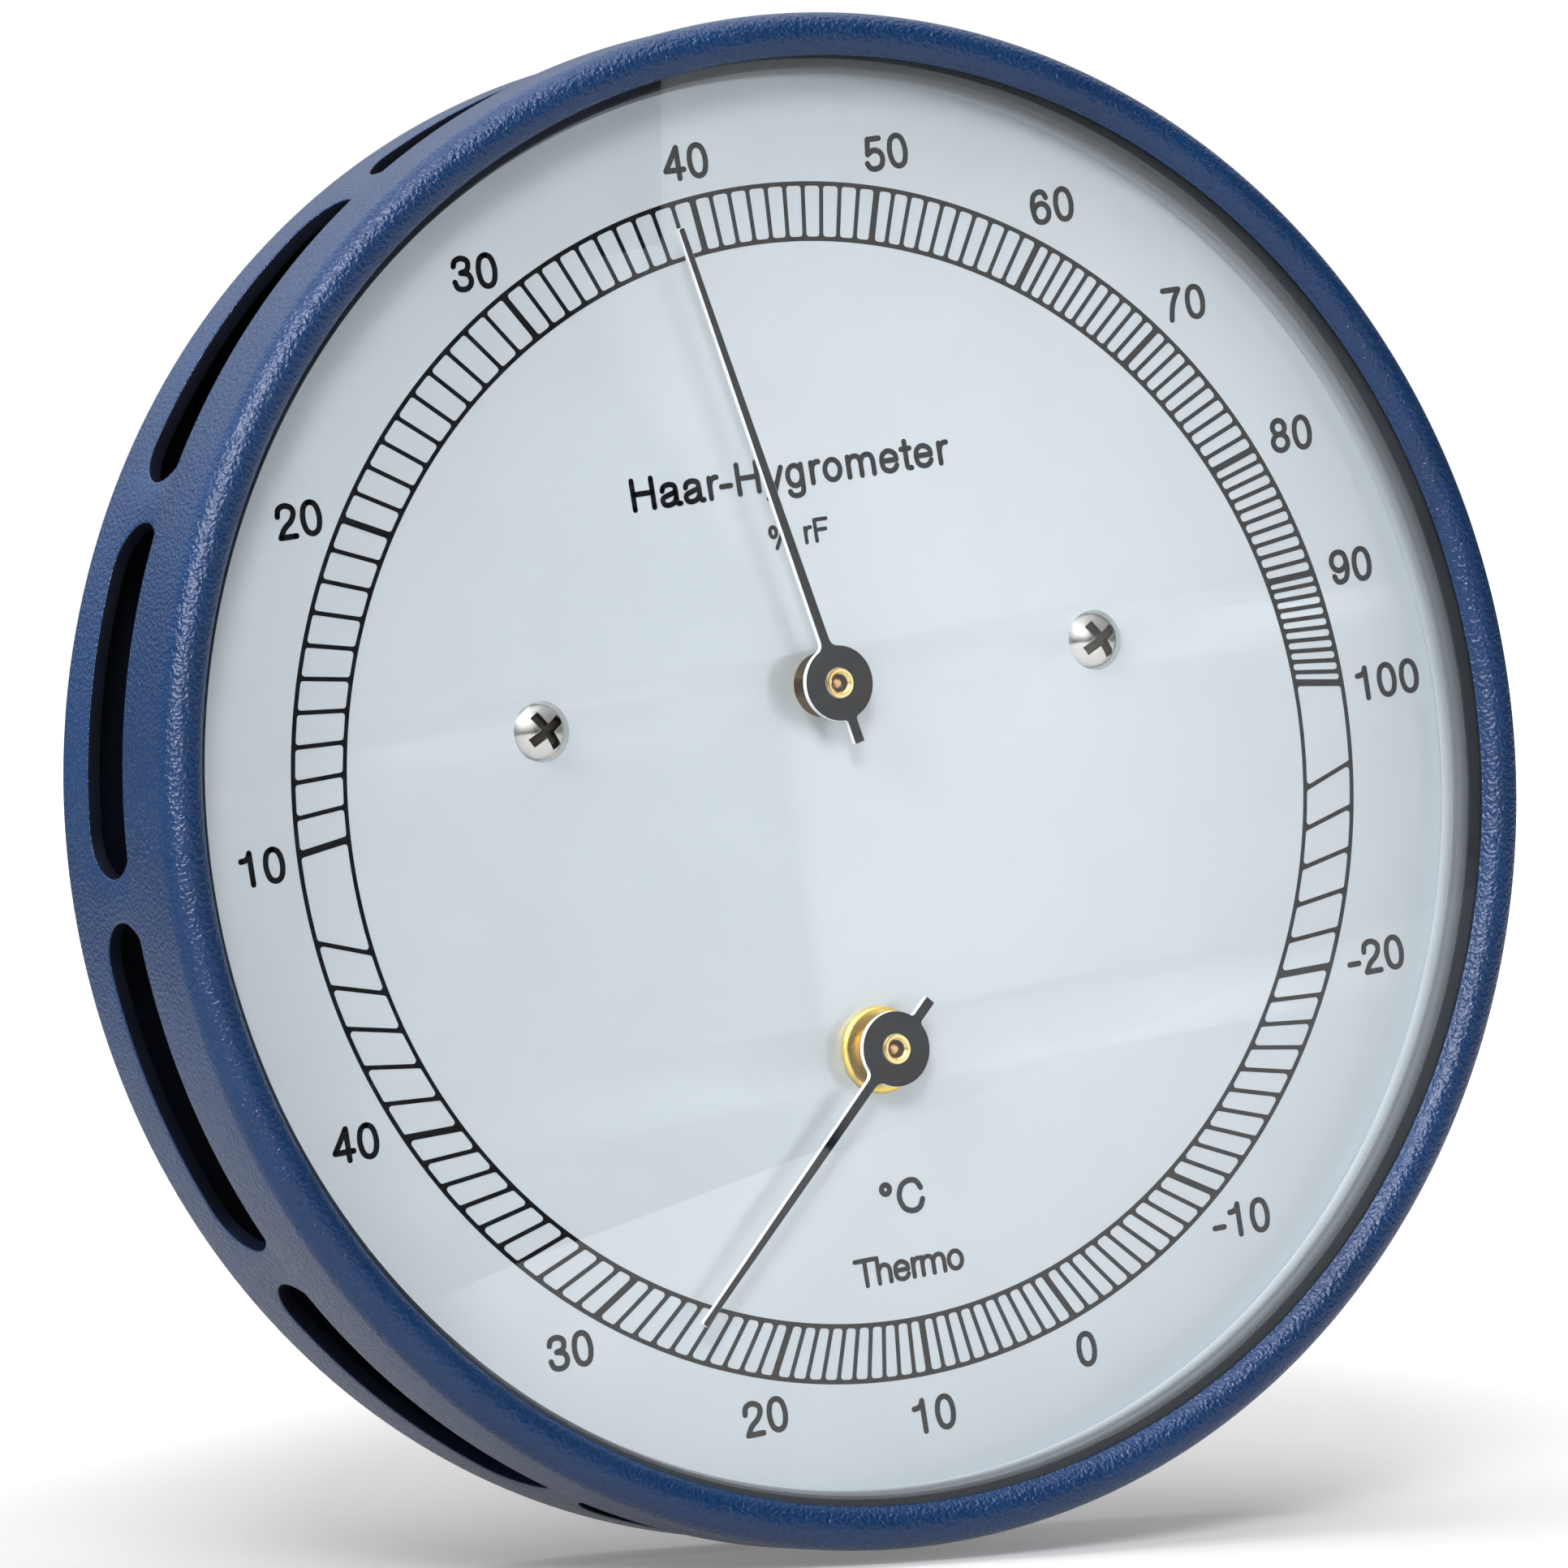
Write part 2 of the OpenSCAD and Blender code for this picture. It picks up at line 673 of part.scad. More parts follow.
// The lower end of the lever is a fork round the eccentric pin
module adjusting_lever() {
    pin_y = adjuster_drop - eccentric;
    lift_room = 1;
    fork_end = pin_y + fork_reach;
    play = 0.08;
    color(brass) front() translate(concat(lever_pivot_at, lever_z + lift)) linear_extrude(lever_t - lift)
        difference() {
            union() {
                bar([0, 0], [0, pivot_drop], lever_w);
                translate([-lever_w / 2, -fork_end]) square([lever_w, fork_end]);
            }
            circle(pivot_r + running);
            translate([-ecc_pin_r - play, -fork_end - over])
                square([2 * (ecc_pin_r + play), over + fork_end - pin_y + lift_room]);
            translate([0, -pin_y + lift_room]) circle(ecc_pin_r + play);
        }
}

module lever_pivot() {
    head_r = pivot_r + 0.9;
    color(steel) front() translate(lever_pivot_at) {
        rod(pivot_r, back_z, lever_top + lift - back_z);
        rod(pivot_r + 0.8, between_z, lever_z - between_z);
        rod(head_r, lever_top + lift, 0.8);
    }
}

// Slotted at the back, with an eccentric pin at the front
module adjusting_screw() {
    slot = 0.7;
    slot_depth = 0.8;
    head_z = case_wall + 0.3;
    collar_t = 0.6;
    color(steel) front() translate(adjuster_at) difference() {
        union() {
            rod(adjuster_r, head_z, between_z - head_z);
            rod(adjuster_r + 0.6, between_z, collar_t);
            translate([0, eccentric, 0]) rod(ecc_pin_r, between_z + collar_t, lever_top - between_z);
        }
        translate([-adjuster_r - over, -slot / 2, head_z - over])
            cube([2 * (adjuster_r + over), slot, over + slot_depth]);
    }
}

module thermo_bush() {
    edge = flange_h / 2;
    color(brass) front() translate(thermo) rotate_extrude() difference() {
        union() {
            translate([0, dial_z]) square([flange_r - edge, flange_h]);
            translate([flange_r - edge, dial_z + edge]) circle(edge);
            translate([0, thermo_nut_z - 0.3]) square([thermo_sleeve_r, dial_z - thermo_nut_z + 0.3]);
        }
        square([arbor_r + running, 2 * dial_z]);
    }
}

// A ring on the bush with an arm, whose tab holds the outer end of the spiral
module thermo_carrier() {
    ring_r = thermo_sleeve_r + 1.4;
    tab_w = 4;
    color(brass) front() translate(thermo) {
        translate([0, 0, carrier_z]) linear_extrude(carrier_t) difference() {
            union() {
                circle(ring_r);
                translate([0, -tab_w / 2]) square([bimetal_r + tab_t, tab_w]);
            }
            circle(thermo_sleeve_r + slip);
        }
        translate([bimetal_r, -tab_w / 2, bimetal_z]) cube([tab_t, tab_w, carrier_z - bimetal_z]);
    }
}

module thermo_nut() {
    color(brass) front() translate(thermo) difference() {
        translate([0, 0, thermo_nut_z]) cylinder(r = thermo_nut_r, h = thermo_nut_h, $fn = 6);
        rod(thermo_sleeve_r + slip, thermo_nut_z - over, thermo_nut_h + 2 * over);
    }
}

module thermo_arbor() {
    color(steel) front() translate(thermo) arbor(bimetal_z - 0.4);
}

module bimetal_spiral() {
    color("darkkhaki") front() translate(concat(thermo, bimetal_z)) linear_extrude(bimetal_w)
        spiral(collet_r + 0.02, bimetal_r, bimetal_turns, bimetal_t);
}

module bimetal_collet() {
    color(brass) front() translate(thermo) ring(collet_r, arbor_r, bimetal_z - 0.2, bimetal_w + 0.4);
}

module thermo_pointer() {
    color("dimgray") front() translate(thermo) rotate(180 - thermo_angle) pointer(thermo_reach);
}

module thermo_pointer_bush() {
    color(brass) front() translate(thermo) pointer_bush();
}

case_shell();
bezel_ring();
glass();
glass_gasket();
spacer_ring();
dial_seat_ring();
dial_plate();
dial_screws();
dial_pillars();
front_plate();
plate_pillars();
plate_screws();
back_plate();
case_studs();
stud_nuts();
hygro_arbor();
hygro_pinion();
hygro_pointer();
hygro_pointer_bush();
hairspring();
hairspring_collet();
hairspring_stud();
sector();
sector_arbor();
hair_bundle();
sector_hair_clip();
lever_hair_clip();
adjusting_lever();
lever_pivot();
adjusting_screw();
thermo_bush();
thermo_carrier();
thermo_nut();
thermo_arbor();
bimetal_spiral();
bimetal_collet();
thermo_pointer();
thermo_pointer_bush();
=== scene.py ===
import math

import bmesh
import bpy
from mathutils import Matrix, Vector


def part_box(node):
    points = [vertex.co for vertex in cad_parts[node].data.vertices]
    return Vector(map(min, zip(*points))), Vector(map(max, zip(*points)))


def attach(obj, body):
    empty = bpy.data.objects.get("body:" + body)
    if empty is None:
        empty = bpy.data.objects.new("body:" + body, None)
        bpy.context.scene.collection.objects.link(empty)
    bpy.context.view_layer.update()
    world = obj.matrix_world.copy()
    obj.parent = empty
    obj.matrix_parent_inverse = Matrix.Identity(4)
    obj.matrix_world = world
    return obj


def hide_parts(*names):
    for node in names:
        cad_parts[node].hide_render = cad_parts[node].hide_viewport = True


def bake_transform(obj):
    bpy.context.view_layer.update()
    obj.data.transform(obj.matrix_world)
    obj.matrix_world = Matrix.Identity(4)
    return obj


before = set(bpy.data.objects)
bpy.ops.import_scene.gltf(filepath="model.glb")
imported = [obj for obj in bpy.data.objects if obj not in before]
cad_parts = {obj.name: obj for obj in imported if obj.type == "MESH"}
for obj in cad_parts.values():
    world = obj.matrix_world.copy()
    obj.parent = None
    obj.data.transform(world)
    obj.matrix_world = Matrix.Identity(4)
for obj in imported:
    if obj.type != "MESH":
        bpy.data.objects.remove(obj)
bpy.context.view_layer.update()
print("frame loaded:", len(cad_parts), "nodes")

# Pieces are drawn as seen from the front, in millimetres: x right, y up, z the distance in front of the wall
mm = 0.001
front = Matrix.Scale(mm, 4) @ Matrix.Rotation(math.radians(90), 4, "X")
fullTurn = 2 * math.pi


def span(node):
    # Where a frame node lies on the drawing, in millimetres
    low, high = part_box(node)
    return {"left": low.x / mm, "right": high.x / mm, "down": low.z / mm, "up": high.z / mm,
            "rear": -high.y / mm, "front": -low.y / mm,
            "x": (low.x + high.x) / 2 / mm, "y": (low.z + high.z) / 2 / mm}


def polar(radius, angle, centre=(0, 0)):
    return (centre[0] + radius * math.cos(angle), centre[1] + radius * math.sin(angle))


def arc(radius, start, end, steps, centre=(0, 0)):
    return [polar(radius, math.radians(start + (end - start) * i / steps), centre) for i in range(steps + 1)]


def rounded(corners, steps=5):
    # Closed outline from (x, y, radius) corners, each with its own fillet
    outline = []
    for i, (x, y, radius) in enumerate(corners):
        here = Vector((x, y))
        before = (Vector(corners[i - 1][:2]) - here).normalized()
        after = (Vector(corners[(i + 1) % len(corners)][:2]) - here).normalized()
        half = before.angle(after, math.pi) / 2
        if radius <= 0 or half > 1.55:
            outline.append((x, y))
            continue
        centre = here + (before + after).normalized() * radius / math.sin(half)
        start = here + before * radius / math.tan(half) - centre
        end = here + after * radius / math.tan(half) - centre
        turn = start.angle_signed(end)
        for k in range(steps + 1):
            spot = Matrix.Rotation(-turn * k / steps, 2) @ start + centre
            outline.append((spot.x, spot.y))
    return outline


def newMesh(name, vertices, faces, edges=()):
    mesh = bpy.data.meshes.new(name)
    mesh.from_pydata([tuple(v) if len(v) == 3 else (v[0], v[1], 0) for v in vertices], list(edges), faces)
    return mesh


def newObject(name, mesh):
    piece = bpy.data.objects.new(name, mesh)
    bpy.context.scene.collection.objects.link(piece)
    return piece


def evaluated(piece):
    # Plain mesh of an object with its modifiers applied; the object goes
    graph = bpy.context.evaluated_depsgraph_get()
    mesh = bpy.data.meshes.new_from_object(piece.evaluated_get(graph), depsgraph=graph)
    data = piece.data
    bpy.data.objects.remove(piece)
    (bpy.data.curves if isinstance(data, bpy.types.Curve) else bpy.data.meshes).remove(data)
    return mesh


def cleaned(mesh, merge, collapse=None):
    # Doubles merged, and edges shorter than collapse taken out; faces point outwards
    work = bmesh.new()
    work.from_mesh(mesh)
    bmesh.ops.remove_doubles(work, verts=work.verts, dist=merge)
    if collapse:
        bmesh.ops.dissolve_degenerate(work, edges=work.edges, dist=collapse)
    bmesh.ops.recalc_face_normals(work, faces=work.faces)
    work.to_mesh(mesh)
    work.free()
    return mesh


def finishPiece(name, mesh, body, slot, materials, replaced=(), sharp=35):
    # Puts a drawn mesh into the part's frame and ties it to its body
    mesh.transform(front)
    mesh.name = name
    for surface in materials if isinstance(materials, (list, tuple)) else [materials]:
        if surface.name not in [m.name for m in mesh.materials if m]:
            mesh.materials.append(surface)
    if sharp:
        mesh.shade_smooth()
        mesh.set_sharp_from_angle(angle=math.radians(sharp))
    piece = newObject(name, mesh)
    if body:
        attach(piece, body)
    if replaced:
        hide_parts(*replaced)
    return piece


def lathe(profile, steps, centre=(0, 0), closed=True):
    # Turned mesh of an (r, z) profile about the z axis through centre
    vertices = [polar(r, fullTurn * k / steps, centre) + (z,) for k in range(steps) for r, z in profile]
    count = len(profile)
    faces = []
    for k in range(steps):
        a, b = k * count, (k + 1) % steps * count
        for i in range(count if closed else count - 1):
            j = (i + 1) % count
            faces.append((a + i, a + j, b + j, b + i))
    return cleaned(newMesh("turned", vertices, faces), 0.0004, 0.0001)


def sheet(outlines, low, high, edge):
    # Flat piece cut from sheet: the first outline is its border and the others are holes
    curve = bpy.data.curves.new("cut", "CURVE")
    curve.dimensions, curve.fill_mode = "2D", "BOTH"
    curve.extrude = (high - low) / 2 - edge
    curve.bevel_depth, curve.bevel_resolution, curve.offset = edge, 2, -edge
    for outline in outlines:
        spline = curve.splines.new("POLY")
        spline.points.add(len(outline) - 1)
        spline.use_cyclic_u = True
        for point, (x, y) in zip(spline.points, outline):
            point.co = (x, y, 0, 1)
    mesh = evaluated(newObject("cut", curve))
    mesh.transform(Matrix.Translation((0, 0, (low + high) / 2)))
    return cleaned(mesh, 0.0002)


def connect(source, target):
    # A node stands for its first output
    target.id_data.links.new(source.outputs[0] if isinstance(source, bpy.types.Node) else source, target)


def nodeMaker(tree):
    # Returns what adds a node to the tree and fills its inputs with numbers, sockets or other nodes
    def node(kind, values=None, **attributes):
        made = tree.nodes.new(("ShaderNode" if hasattr(bpy.types, "ShaderNode" + kind) else "GeometryNode") + kind)
        for key, value in attributes.items():
            setattr(made, key, value)
        for key, value in (values or {}).items():
            if isinstance(value, (bpy.types.Node, bpy.types.NodeSocket)):
                connect(value, made.inputs[key])
            else:
                made.inputs[key].default_value = value
        return made
    return node


def maths(node, operation, *values):
    return node("Math", dict(enumerate(values)), operation=operation)


def viewKinds(node):
    # Two signals: the ray comes straight from the camera, glass apart; and it comes off one gloss after that
    ray = node("LightPath").outputs
    flat = maths(node, "LESS_THAN", ray["Diffuse Depth"], 0.5)
    seen = maths(node, "MULTIPLY", flat, maths(node, "LESS_THAN", ray["Glossy Depth"], 0.5))
    return seen, maths(node, "SUBTRACT", flat, seen)


# Finishes
socketNames = {"base": "Base Color", "rough": "Roughness", "metal": "Metallic", "level": "Specular IOR Level"}


def newFinish(name, **settings):
    # A material, its node maker and the inputs of its shader
    surface = bpy.data.materials.new(name)
    surface.use_nodes = True
    sockets = surface.node_tree.nodes["Principled BSDF"].inputs
    for key, value in settings.items():
        sockets[socketNames[key]].default_value = (*value, 1) if isinstance(value, tuple) else value
    return surface, nodeMaker(surface.node_tree), sockets


def bareFinish(name):
    # A material without its usual shader, its node maker and its output's socket
    surface = bpy.data.materials.new(name)
    surface.use_nodes = True
    nodes = surface.node_tree.nodes
    nodes.remove(nodes["Principled BSDF"])
    return surface, nodeMaker(surface.node_tree), nodes["Material Output"].inputs["Surface"]


def speckle(node, size, stretch=(1, 1, 1), detail=2.0):
    # Noise whose blotches are about size millimetres wide on the piece's own coordinates
    turn = node("Mapping", {"Vector": node("TexCoord").outputs["Object"], "Scale": stretch})
    return node("TexNoise", {"Vector": turn, "Scale": 1 / (size * mm), "Detail": detail})


ringsPerUnit = 0.31  # a wave of this scale has one ring in each unit of length


def turningMarks(node, pitch, centre):
    # Rings about an axis that runs from front to back through centre, pitch in millimetres
    turn = node("Mapping", {"Vector": node("TexCoord").outputs["Object"],
                            "Location": (-centre[0] * mm, 0, -centre[1] * mm)})
    wave = node("TexWave", {"Vector": turn, "Scale": ringsPerUnit / (pitch * mm), "Distortion": 0.6, "Detail": 2.0,
                            "Detail Scale": 2.0}, wave_type="RINGS", rings_direction="Y")
    return wave.outputs["Fac"]


def relief(node, sockets, height, depth):
    # Bump of depth millimetres on top of whatever the shader's normal already has
    made = node("Bump", {"Height": height, "Distance": depth * mm})
    for link in list(sockets["Normal"].links):
        connect(link.from_socket, made.inputs["Normal"])
    connect(made, sockets["Normal"])


def vary(node, target, factor, low, high, start=0.3, end=0.7):
    # Drives a number or a colour between two values
    if isinstance(low, tuple):
        made = node("ValToRGB", {"Fac": factor})
        for element, place, colour in zip(made.color_ramp.elements, (start, end), (low, high)):
            element.position, element.color = place, (*colour, 1)
    else:
        made = node("MapRange", {"Value": factor, "From Min": start, "From Max": end, "To Min": low,
                                 "To Max": high})
    connect(made, target)


paint = {"dark": (0.0020, 0.0225, 0.0800), "pale": (0.0032, 0.0285, 0.0970), "cloud": 9.0,
         "rough": (0.30, 0.36), "mottle": 0.6, "tint": (0.86, 0.87, 1.0, 1),
         "peelSize": 0.28, "peelDepth": 0.135, "grainSize": 0.11, "grainDepth": 0.012}


def makePaint(name):
    surface, node, sockets = newFinish(name, level=0.5)
    sockets["Specular Tint"].default_value = paint["tint"]
    vary(node, sockets["Base Color"], speckle(node, paint["cloud"]), paint["dark"], paint["pale"])
    vary(node, sockets["Roughness"], speckle(node, paint["mottle"]), *paint["rough"])
    relief(node, sockets, speckle(node, paint["peelSize"], detail=1.0), paint["peelDepth"])
    relief(node, sockets, speckle(node, paint["grainSize"], detail=1.0), paint["grainDepth"])
    return surface


bareMetal = {"cloud": 2.5, "smear": 1.2}


def makeMetal(name, low, high, rough, streak=(1, 1, 1), size=0.25, depth=0.002, turning=None):
    # Bare metal: streaks or turning marks, with fingermark-sized changes of gloss
    surface, node, sockets = newFinish(name, metal=1.0)
    vary(node, sockets["Base Color"], speckle(node, bareMetal["cloud"]), low, high)
    vary(node, sockets["Roughness"], speckle(node, bareMetal["smear"], detail=4.0), *rough)
    relief(node, sockets, turningMarks(node, *turning) if turning else speckle(node, size, streak), depth)
    return surface


def makePlain(name, low, high, rough, size, depth, blotch=3.0, level=0.5, metal=0.0):
    # Painted, printed or moulded: grain of one size, and changes of gloss three grains wide
    surface, node, sockets = newFinish(name, level=level, metal=metal)
    vary(node, sockets["Base Color"], speckle(node, blotch), low, high)
    vary(node, sockets["Roughness"], speckle(node, size * 3), *rough)
    relief(node, sockets, speckle(node, size), depth)
    return surface


shadedRing = {"level": 0.15, "mottle": 0.6, "grainSize": 0.25, "grainDepth": 0.0004}


def makeShaded(name, nearGlass, nearDial, rough, box):
    # Ring whose inner wall darkens from the dial towards the glass: painted shade under the bezel's lip
    surface, node, sockets = newFinish(name, level=shadedRing["level"])
    split = node("SeparateXYZ", {"Vector": node("TexCoord").outputs["Object"]})
    depth = node("MapRange", {"Value": split.outputs["Y"], "From Min": -box["rear"] * mm,
                              "From Max": -box["front"] * mm})
    vary(node, sockets["Base Color"], depth, nearDial, nearGlass, 0.0, 1.0)
    vary(node, sockets["Roughness"], speckle(node, shadedRing["mottle"]), *rough)
    relief(node, sockets, speckle(node, shadedRing["grainSize"]), shadedRing["grainDepth"])
    return surface


def makeGlass(name, bend, clear, shade):
    # Clear glass that lets the lamps' light through to the dial
    surface, node, output = bareFinish(name)
    ray = node("LightPath").outputs
    lit = maths(node, "SUBTRACT", 1.0, ray["Is Shadow Ray"])
    seen = maths(node, "MULTIPLY", maths(node, "LESS_THAN", ray["Diffuse Depth"], 0.5), lit)
    pane = node("BsdfGlass", {"Roughness": 0.0, "IOR": bend, "Color": clear})
    passed = node("BsdfTransparent", {"Color": shade})
    connect(node("MixShader", {"Fac": seen, 1: passed, 2: pane}), output)
    return surface


hygro, thermo = span("hygro_arbor"), span("thermo_arbor")
hygroAt, thermoAt = (hygro["x"], hygro["y"]), (thermo["x"], thermo["y"])

bluePaint = makePaint("bluePaint")
clearGlass = makeGlass("clearGlass", 1.42, (0.99, 0.994, 0.994, 1), (0.965, 0.972, 0.974, 1))
# Gasket and rings behind the glass: each colour darkens towards the glass, a painted shade
rubberInShade = makeShaded("rubberInShade", (0.018, 0.023, 0.030), (0.130, 0.148, 0.165), (0.75, 0.90),
                         span("glass_gasket"))
greyRing = makeShaded("greyRing", (0.170, 0.190, 0.208), (0.440, 0.480, 0.510), (0.60, 0.75), span("spacer_ring"))

# Two colours, roughness, grain size and depth in millimetres, then blotch size, specular level and metal
# The can's inside and the cut faces of its slots: near-black, a painted shade where little light gets in
caseInsideShade = makePlain("caseInsideShade", (0.0006, 0.0016, 0.0060), (0.0010, 0.0028, 0.0100), (0.65, 0.80),
                       0.15, 0.004, level=0.1)
dialLacquer = makePlain("dialLacquer", (0.545, 0.594, 0.633), (0.560, 0.610, 0.650), (0.31, 0.37),
                        0.10, 0.0001, 7.0, metal=0.25)
dialInk = makePlain("dialInk", (0.0010, 0.0015, 0.0025), (0.0015, 0.0020, 0.0030), (0.60, 0.70),
                    0.12, 0.003, 1.0, level=0.08)
pointerPaint = makePlain("pointerPaint", (0.0040, 0.0055, 0.0075), (0.0060, 0.0075, 0.0100), (0.45, 0.55),
                         0.08, 0.002, 1.0, level=0.05)
cutSteel = makePlain("cutSteel", (0.80, 0.81, 0.82), (0.90, 0.91, 0.92), (0.40, 0.50), 0.06, 0.002, 1.0, metal=0.3)
hairFibre = makePlain("hairFibre", (0.16, 0.085, 0.035), (0.34, 0.20, 0.09), (0.30, 0.45), 0.05, 0.002, 0.4)

# Two colours, roughness, then the stretch of the streaks, their size and their depth in millimetres
brightNickel = makeMetal("brightNickel", (0.66, 0.65, 0.63), (0.74, 0.73, 0.71), (0.10, 0.22), size=0.08,
                         depth=0.0012)
# Near-black for the deep faces of the screws' recesses: painted shade
recessShade = makeMetal("recessShade", (0.030, 0.026, 0.022), (0.060, 0.052, 0.045), (0.35, 0.50), size=0.08)
plainSteel = makeMetal("plainSteel", (0.46, 0.46, 0.47), (0.56, 0.56, 0.57), (0.22, 0.36), (1, 0.15, 1), 0.12)
goldBrass = makeMetal("goldBrass", (0.86, 0.60, 0.12), (0.92, 0.68, 0.18), (0.26, 0.36), depth=0.0016,
                      turning=(0.09, thermoAt))
bushBrass = makeMetal("bushBrass", (0.86, 0.67, 0.28), (0.92, 0.74, 0.34), (0.14, 0.24), size=0.06, depth=0.001)
sheetBrass = makeMetal("sheetBrass", (0.88, 0.64, 0.36), (0.94, 0.71, 0.42), (0.36, 0.50), (0.08, 1, 1), 0.08)
arborCopper = makeMetal("arborCopper", (0.62, 0.38, 0.22), (0.74, 0.48, 0.30), (0.20, 0.30), size=0.06, depth=0.001)
# Near-black for the arbors' shoulders: painted shade inside the bushes
shoulderShade = makeMetal("shoulderShade", (0.030, 0.018, 0.010), (0.050, 0.030, 0.018), (0.45, 0.60), size=0.06)
springBronze = makeMetal("springBronze", (0.55, 0.32, 0.14), (0.66, 0.40, 0.19), (0.20, 0.30),
                         (0.1, 1, 0.1), 0.05, 0.001)
bimetalStrip = makeMetal("bimetalStrip", (0.42, 0.38, 0.32), (0.52, 0.48, 0.41), (0.24, 0.36),
                         (0.1, 1, 0.1), 0.05, 0.001)
print("finishes made")


# Node trees for what repeats
def newTree(name, sockets):
    # Geometry tree with named inputs given with their defaults, and a finish; returns its node maker, its
    # inputs and what closes it with Realize Instances and Set Material
    tree = bpy.data.node_groups.new(name, "GeometryNodeTree")
    face = tree.interface
    face.new_socket("Geometry", in_out="INPUT", socket_type="NodeSocketGeometry")
    for key, value in sockets.items():
        kind = "NodeSocketInt" if isinstance(value, int) else "NodeSocketFloat"
        face.new_socket(key, in_out="INPUT", socket_type=kind).default_value = value
    face.new_socket("Finish", in_out="INPUT", socket_type="NodeSocketMaterial")
    face.new_socket("Geometry", in_out="OUTPUT", socket_type="NodeSocketGeometry")
    node, start, out = nodeMaker(tree), tree.nodes.new("NodeGroupInput"), tree.nodes.new("NodeGroupOutput")

    def close(geometry):
        solid = node("RealizeInstances", {"Geometry": geometry})
        connect(node("SetMaterial", {"Geometry": solid, "Material": start.outputs["Finish"]}), out.inputs[0])
        return tree
    return node, start.outputs, close


def joined(node, *parts):
    made = node("JoinGeometry")
    for piece in parts:
        connect(piece, made.inputs["Geometry"])
    return made


def runTree(tree, mesh, settings):
    # Applies a tree to a mesh and returns the plain result
    piece = newObject("worked", mesh)
    modifier = piece.modifiers.new("tree", "NODES")
    modifier.node_group = tree
    for item in tree.interface.items_tree:
        if item.in_out == "INPUT" and item.name in settings:
            modifier[item.identifier] = settings[item.name]
    return evaluated(piece)


def makeRoundTree():
    # Copies of the input turned about the z axis, merged where they meet
    node, given, close = newTree("roundTheCase", {"Count": 12, "Merge": 0.001})
    spots = node("Points", {"Count": given["Count"]})
    step = maths(node, "DIVIDE", fullTurn, given["Count"])
    turn = node("CombineXYZ", {"Z": maths(node, "MULTIPLY", node("InputIndex"), step)})
    copies = node("InstanceOnPoints", {"Points": spots, "Instance": given["Geometry"], "Rotation": turn})
    solid = node("RealizeInstances", {"Geometry": copies})
    return close(node("MergeByDistance", {"Geometry": solid, "Distance": given["Merge"]}))


def makeInkTree():
    # Drawn lines become flat strokes with round ends
    node, given, close = newTree("inkStrokes", {"Width": 0.25, "Thickness": 0.02})
    lines = node("MeshToCurve", {"Mesh": given["Geometry"]})
    level = node("SetCurveNormal", {"Curve": lines}, mode="Z_UP")
    stroke = node("CurvePrimitiveQuadrilateral", {"Width": given["Width"], "Height": given["Thickness"]})
    ribbon = node("CurveToMesh", {"Curve": level, "Profile Curve": stroke, "Fill Caps": True})
    disc = node("MeshCylinder", {"Vertices": 16, "Radius": maths(node, "MULTIPLY", given["Width"], 0.5),
                                 "Depth": given["Thickness"]})
    caps = node("InstanceOnPoints", {"Points": lines, "Instance": disc,
                                     "Selection": node("CurveEndpointSelection")})
    return close(joined(node, caps, ribbon))


def makeScaleTree():
    # A band of ink between two circles, with the cells left bare and their corners rounded
    node, given, close = newTree("scaleBand", {"Outer": 40.0, "Inner": 36.0, "Corner": 0.3, "Thickness": 0.02})
    cells = node("MeshToCurve", {"Mesh": given["Geometry"]})
    eased = node("FilletCurve", {"Curve": cells, "Radius": given["Corner"], "Count": 5,
                                 "Limit Radius": True}, mode="POLY")
    circles = [node("CurvePrimitiveCircle", {"Resolution": 512, "Radius": given[key]})
               for key in ("Outer", "Inner")]
    filled = node("FillCurve", {"Curve": joined(node, eased, *circles)}, mode="TRIANGLES")
    return close(node("ExtrudeMesh", {"Mesh": filled, "Individual": False,
                                      "Offset Scale": given["Thickness"]}, mode="FACES"))


def makeSpringTree():
    # Flat spiral strip wound about the z axis
    node, given, close = newTree("woundStrip", {"Turns": 5.0, "Inner": 1.5, "Outer": 6.0,
                                                "Strip": 0.15, "Height": 0.4})
    path = node("CurveSpiral", {"Resolution": 90, "Rotations": given["Turns"], "Height": 0.0,
                                "Start Radius": given["Inner"], "End Radius": given["Outer"]})
    level = node("SetCurveNormal", {"Curve": path}, mode="Z_UP")
    section = node("CurvePrimitiveQuadrilateral", {"Width": given["Strip"], "Height": given["Height"]})
    return close(node("CurveToMesh", {"Curve": level, "Profile Curve": section, "Fill Caps": True}))


goldenAngle = 2.39996  # spreads the strands evenly


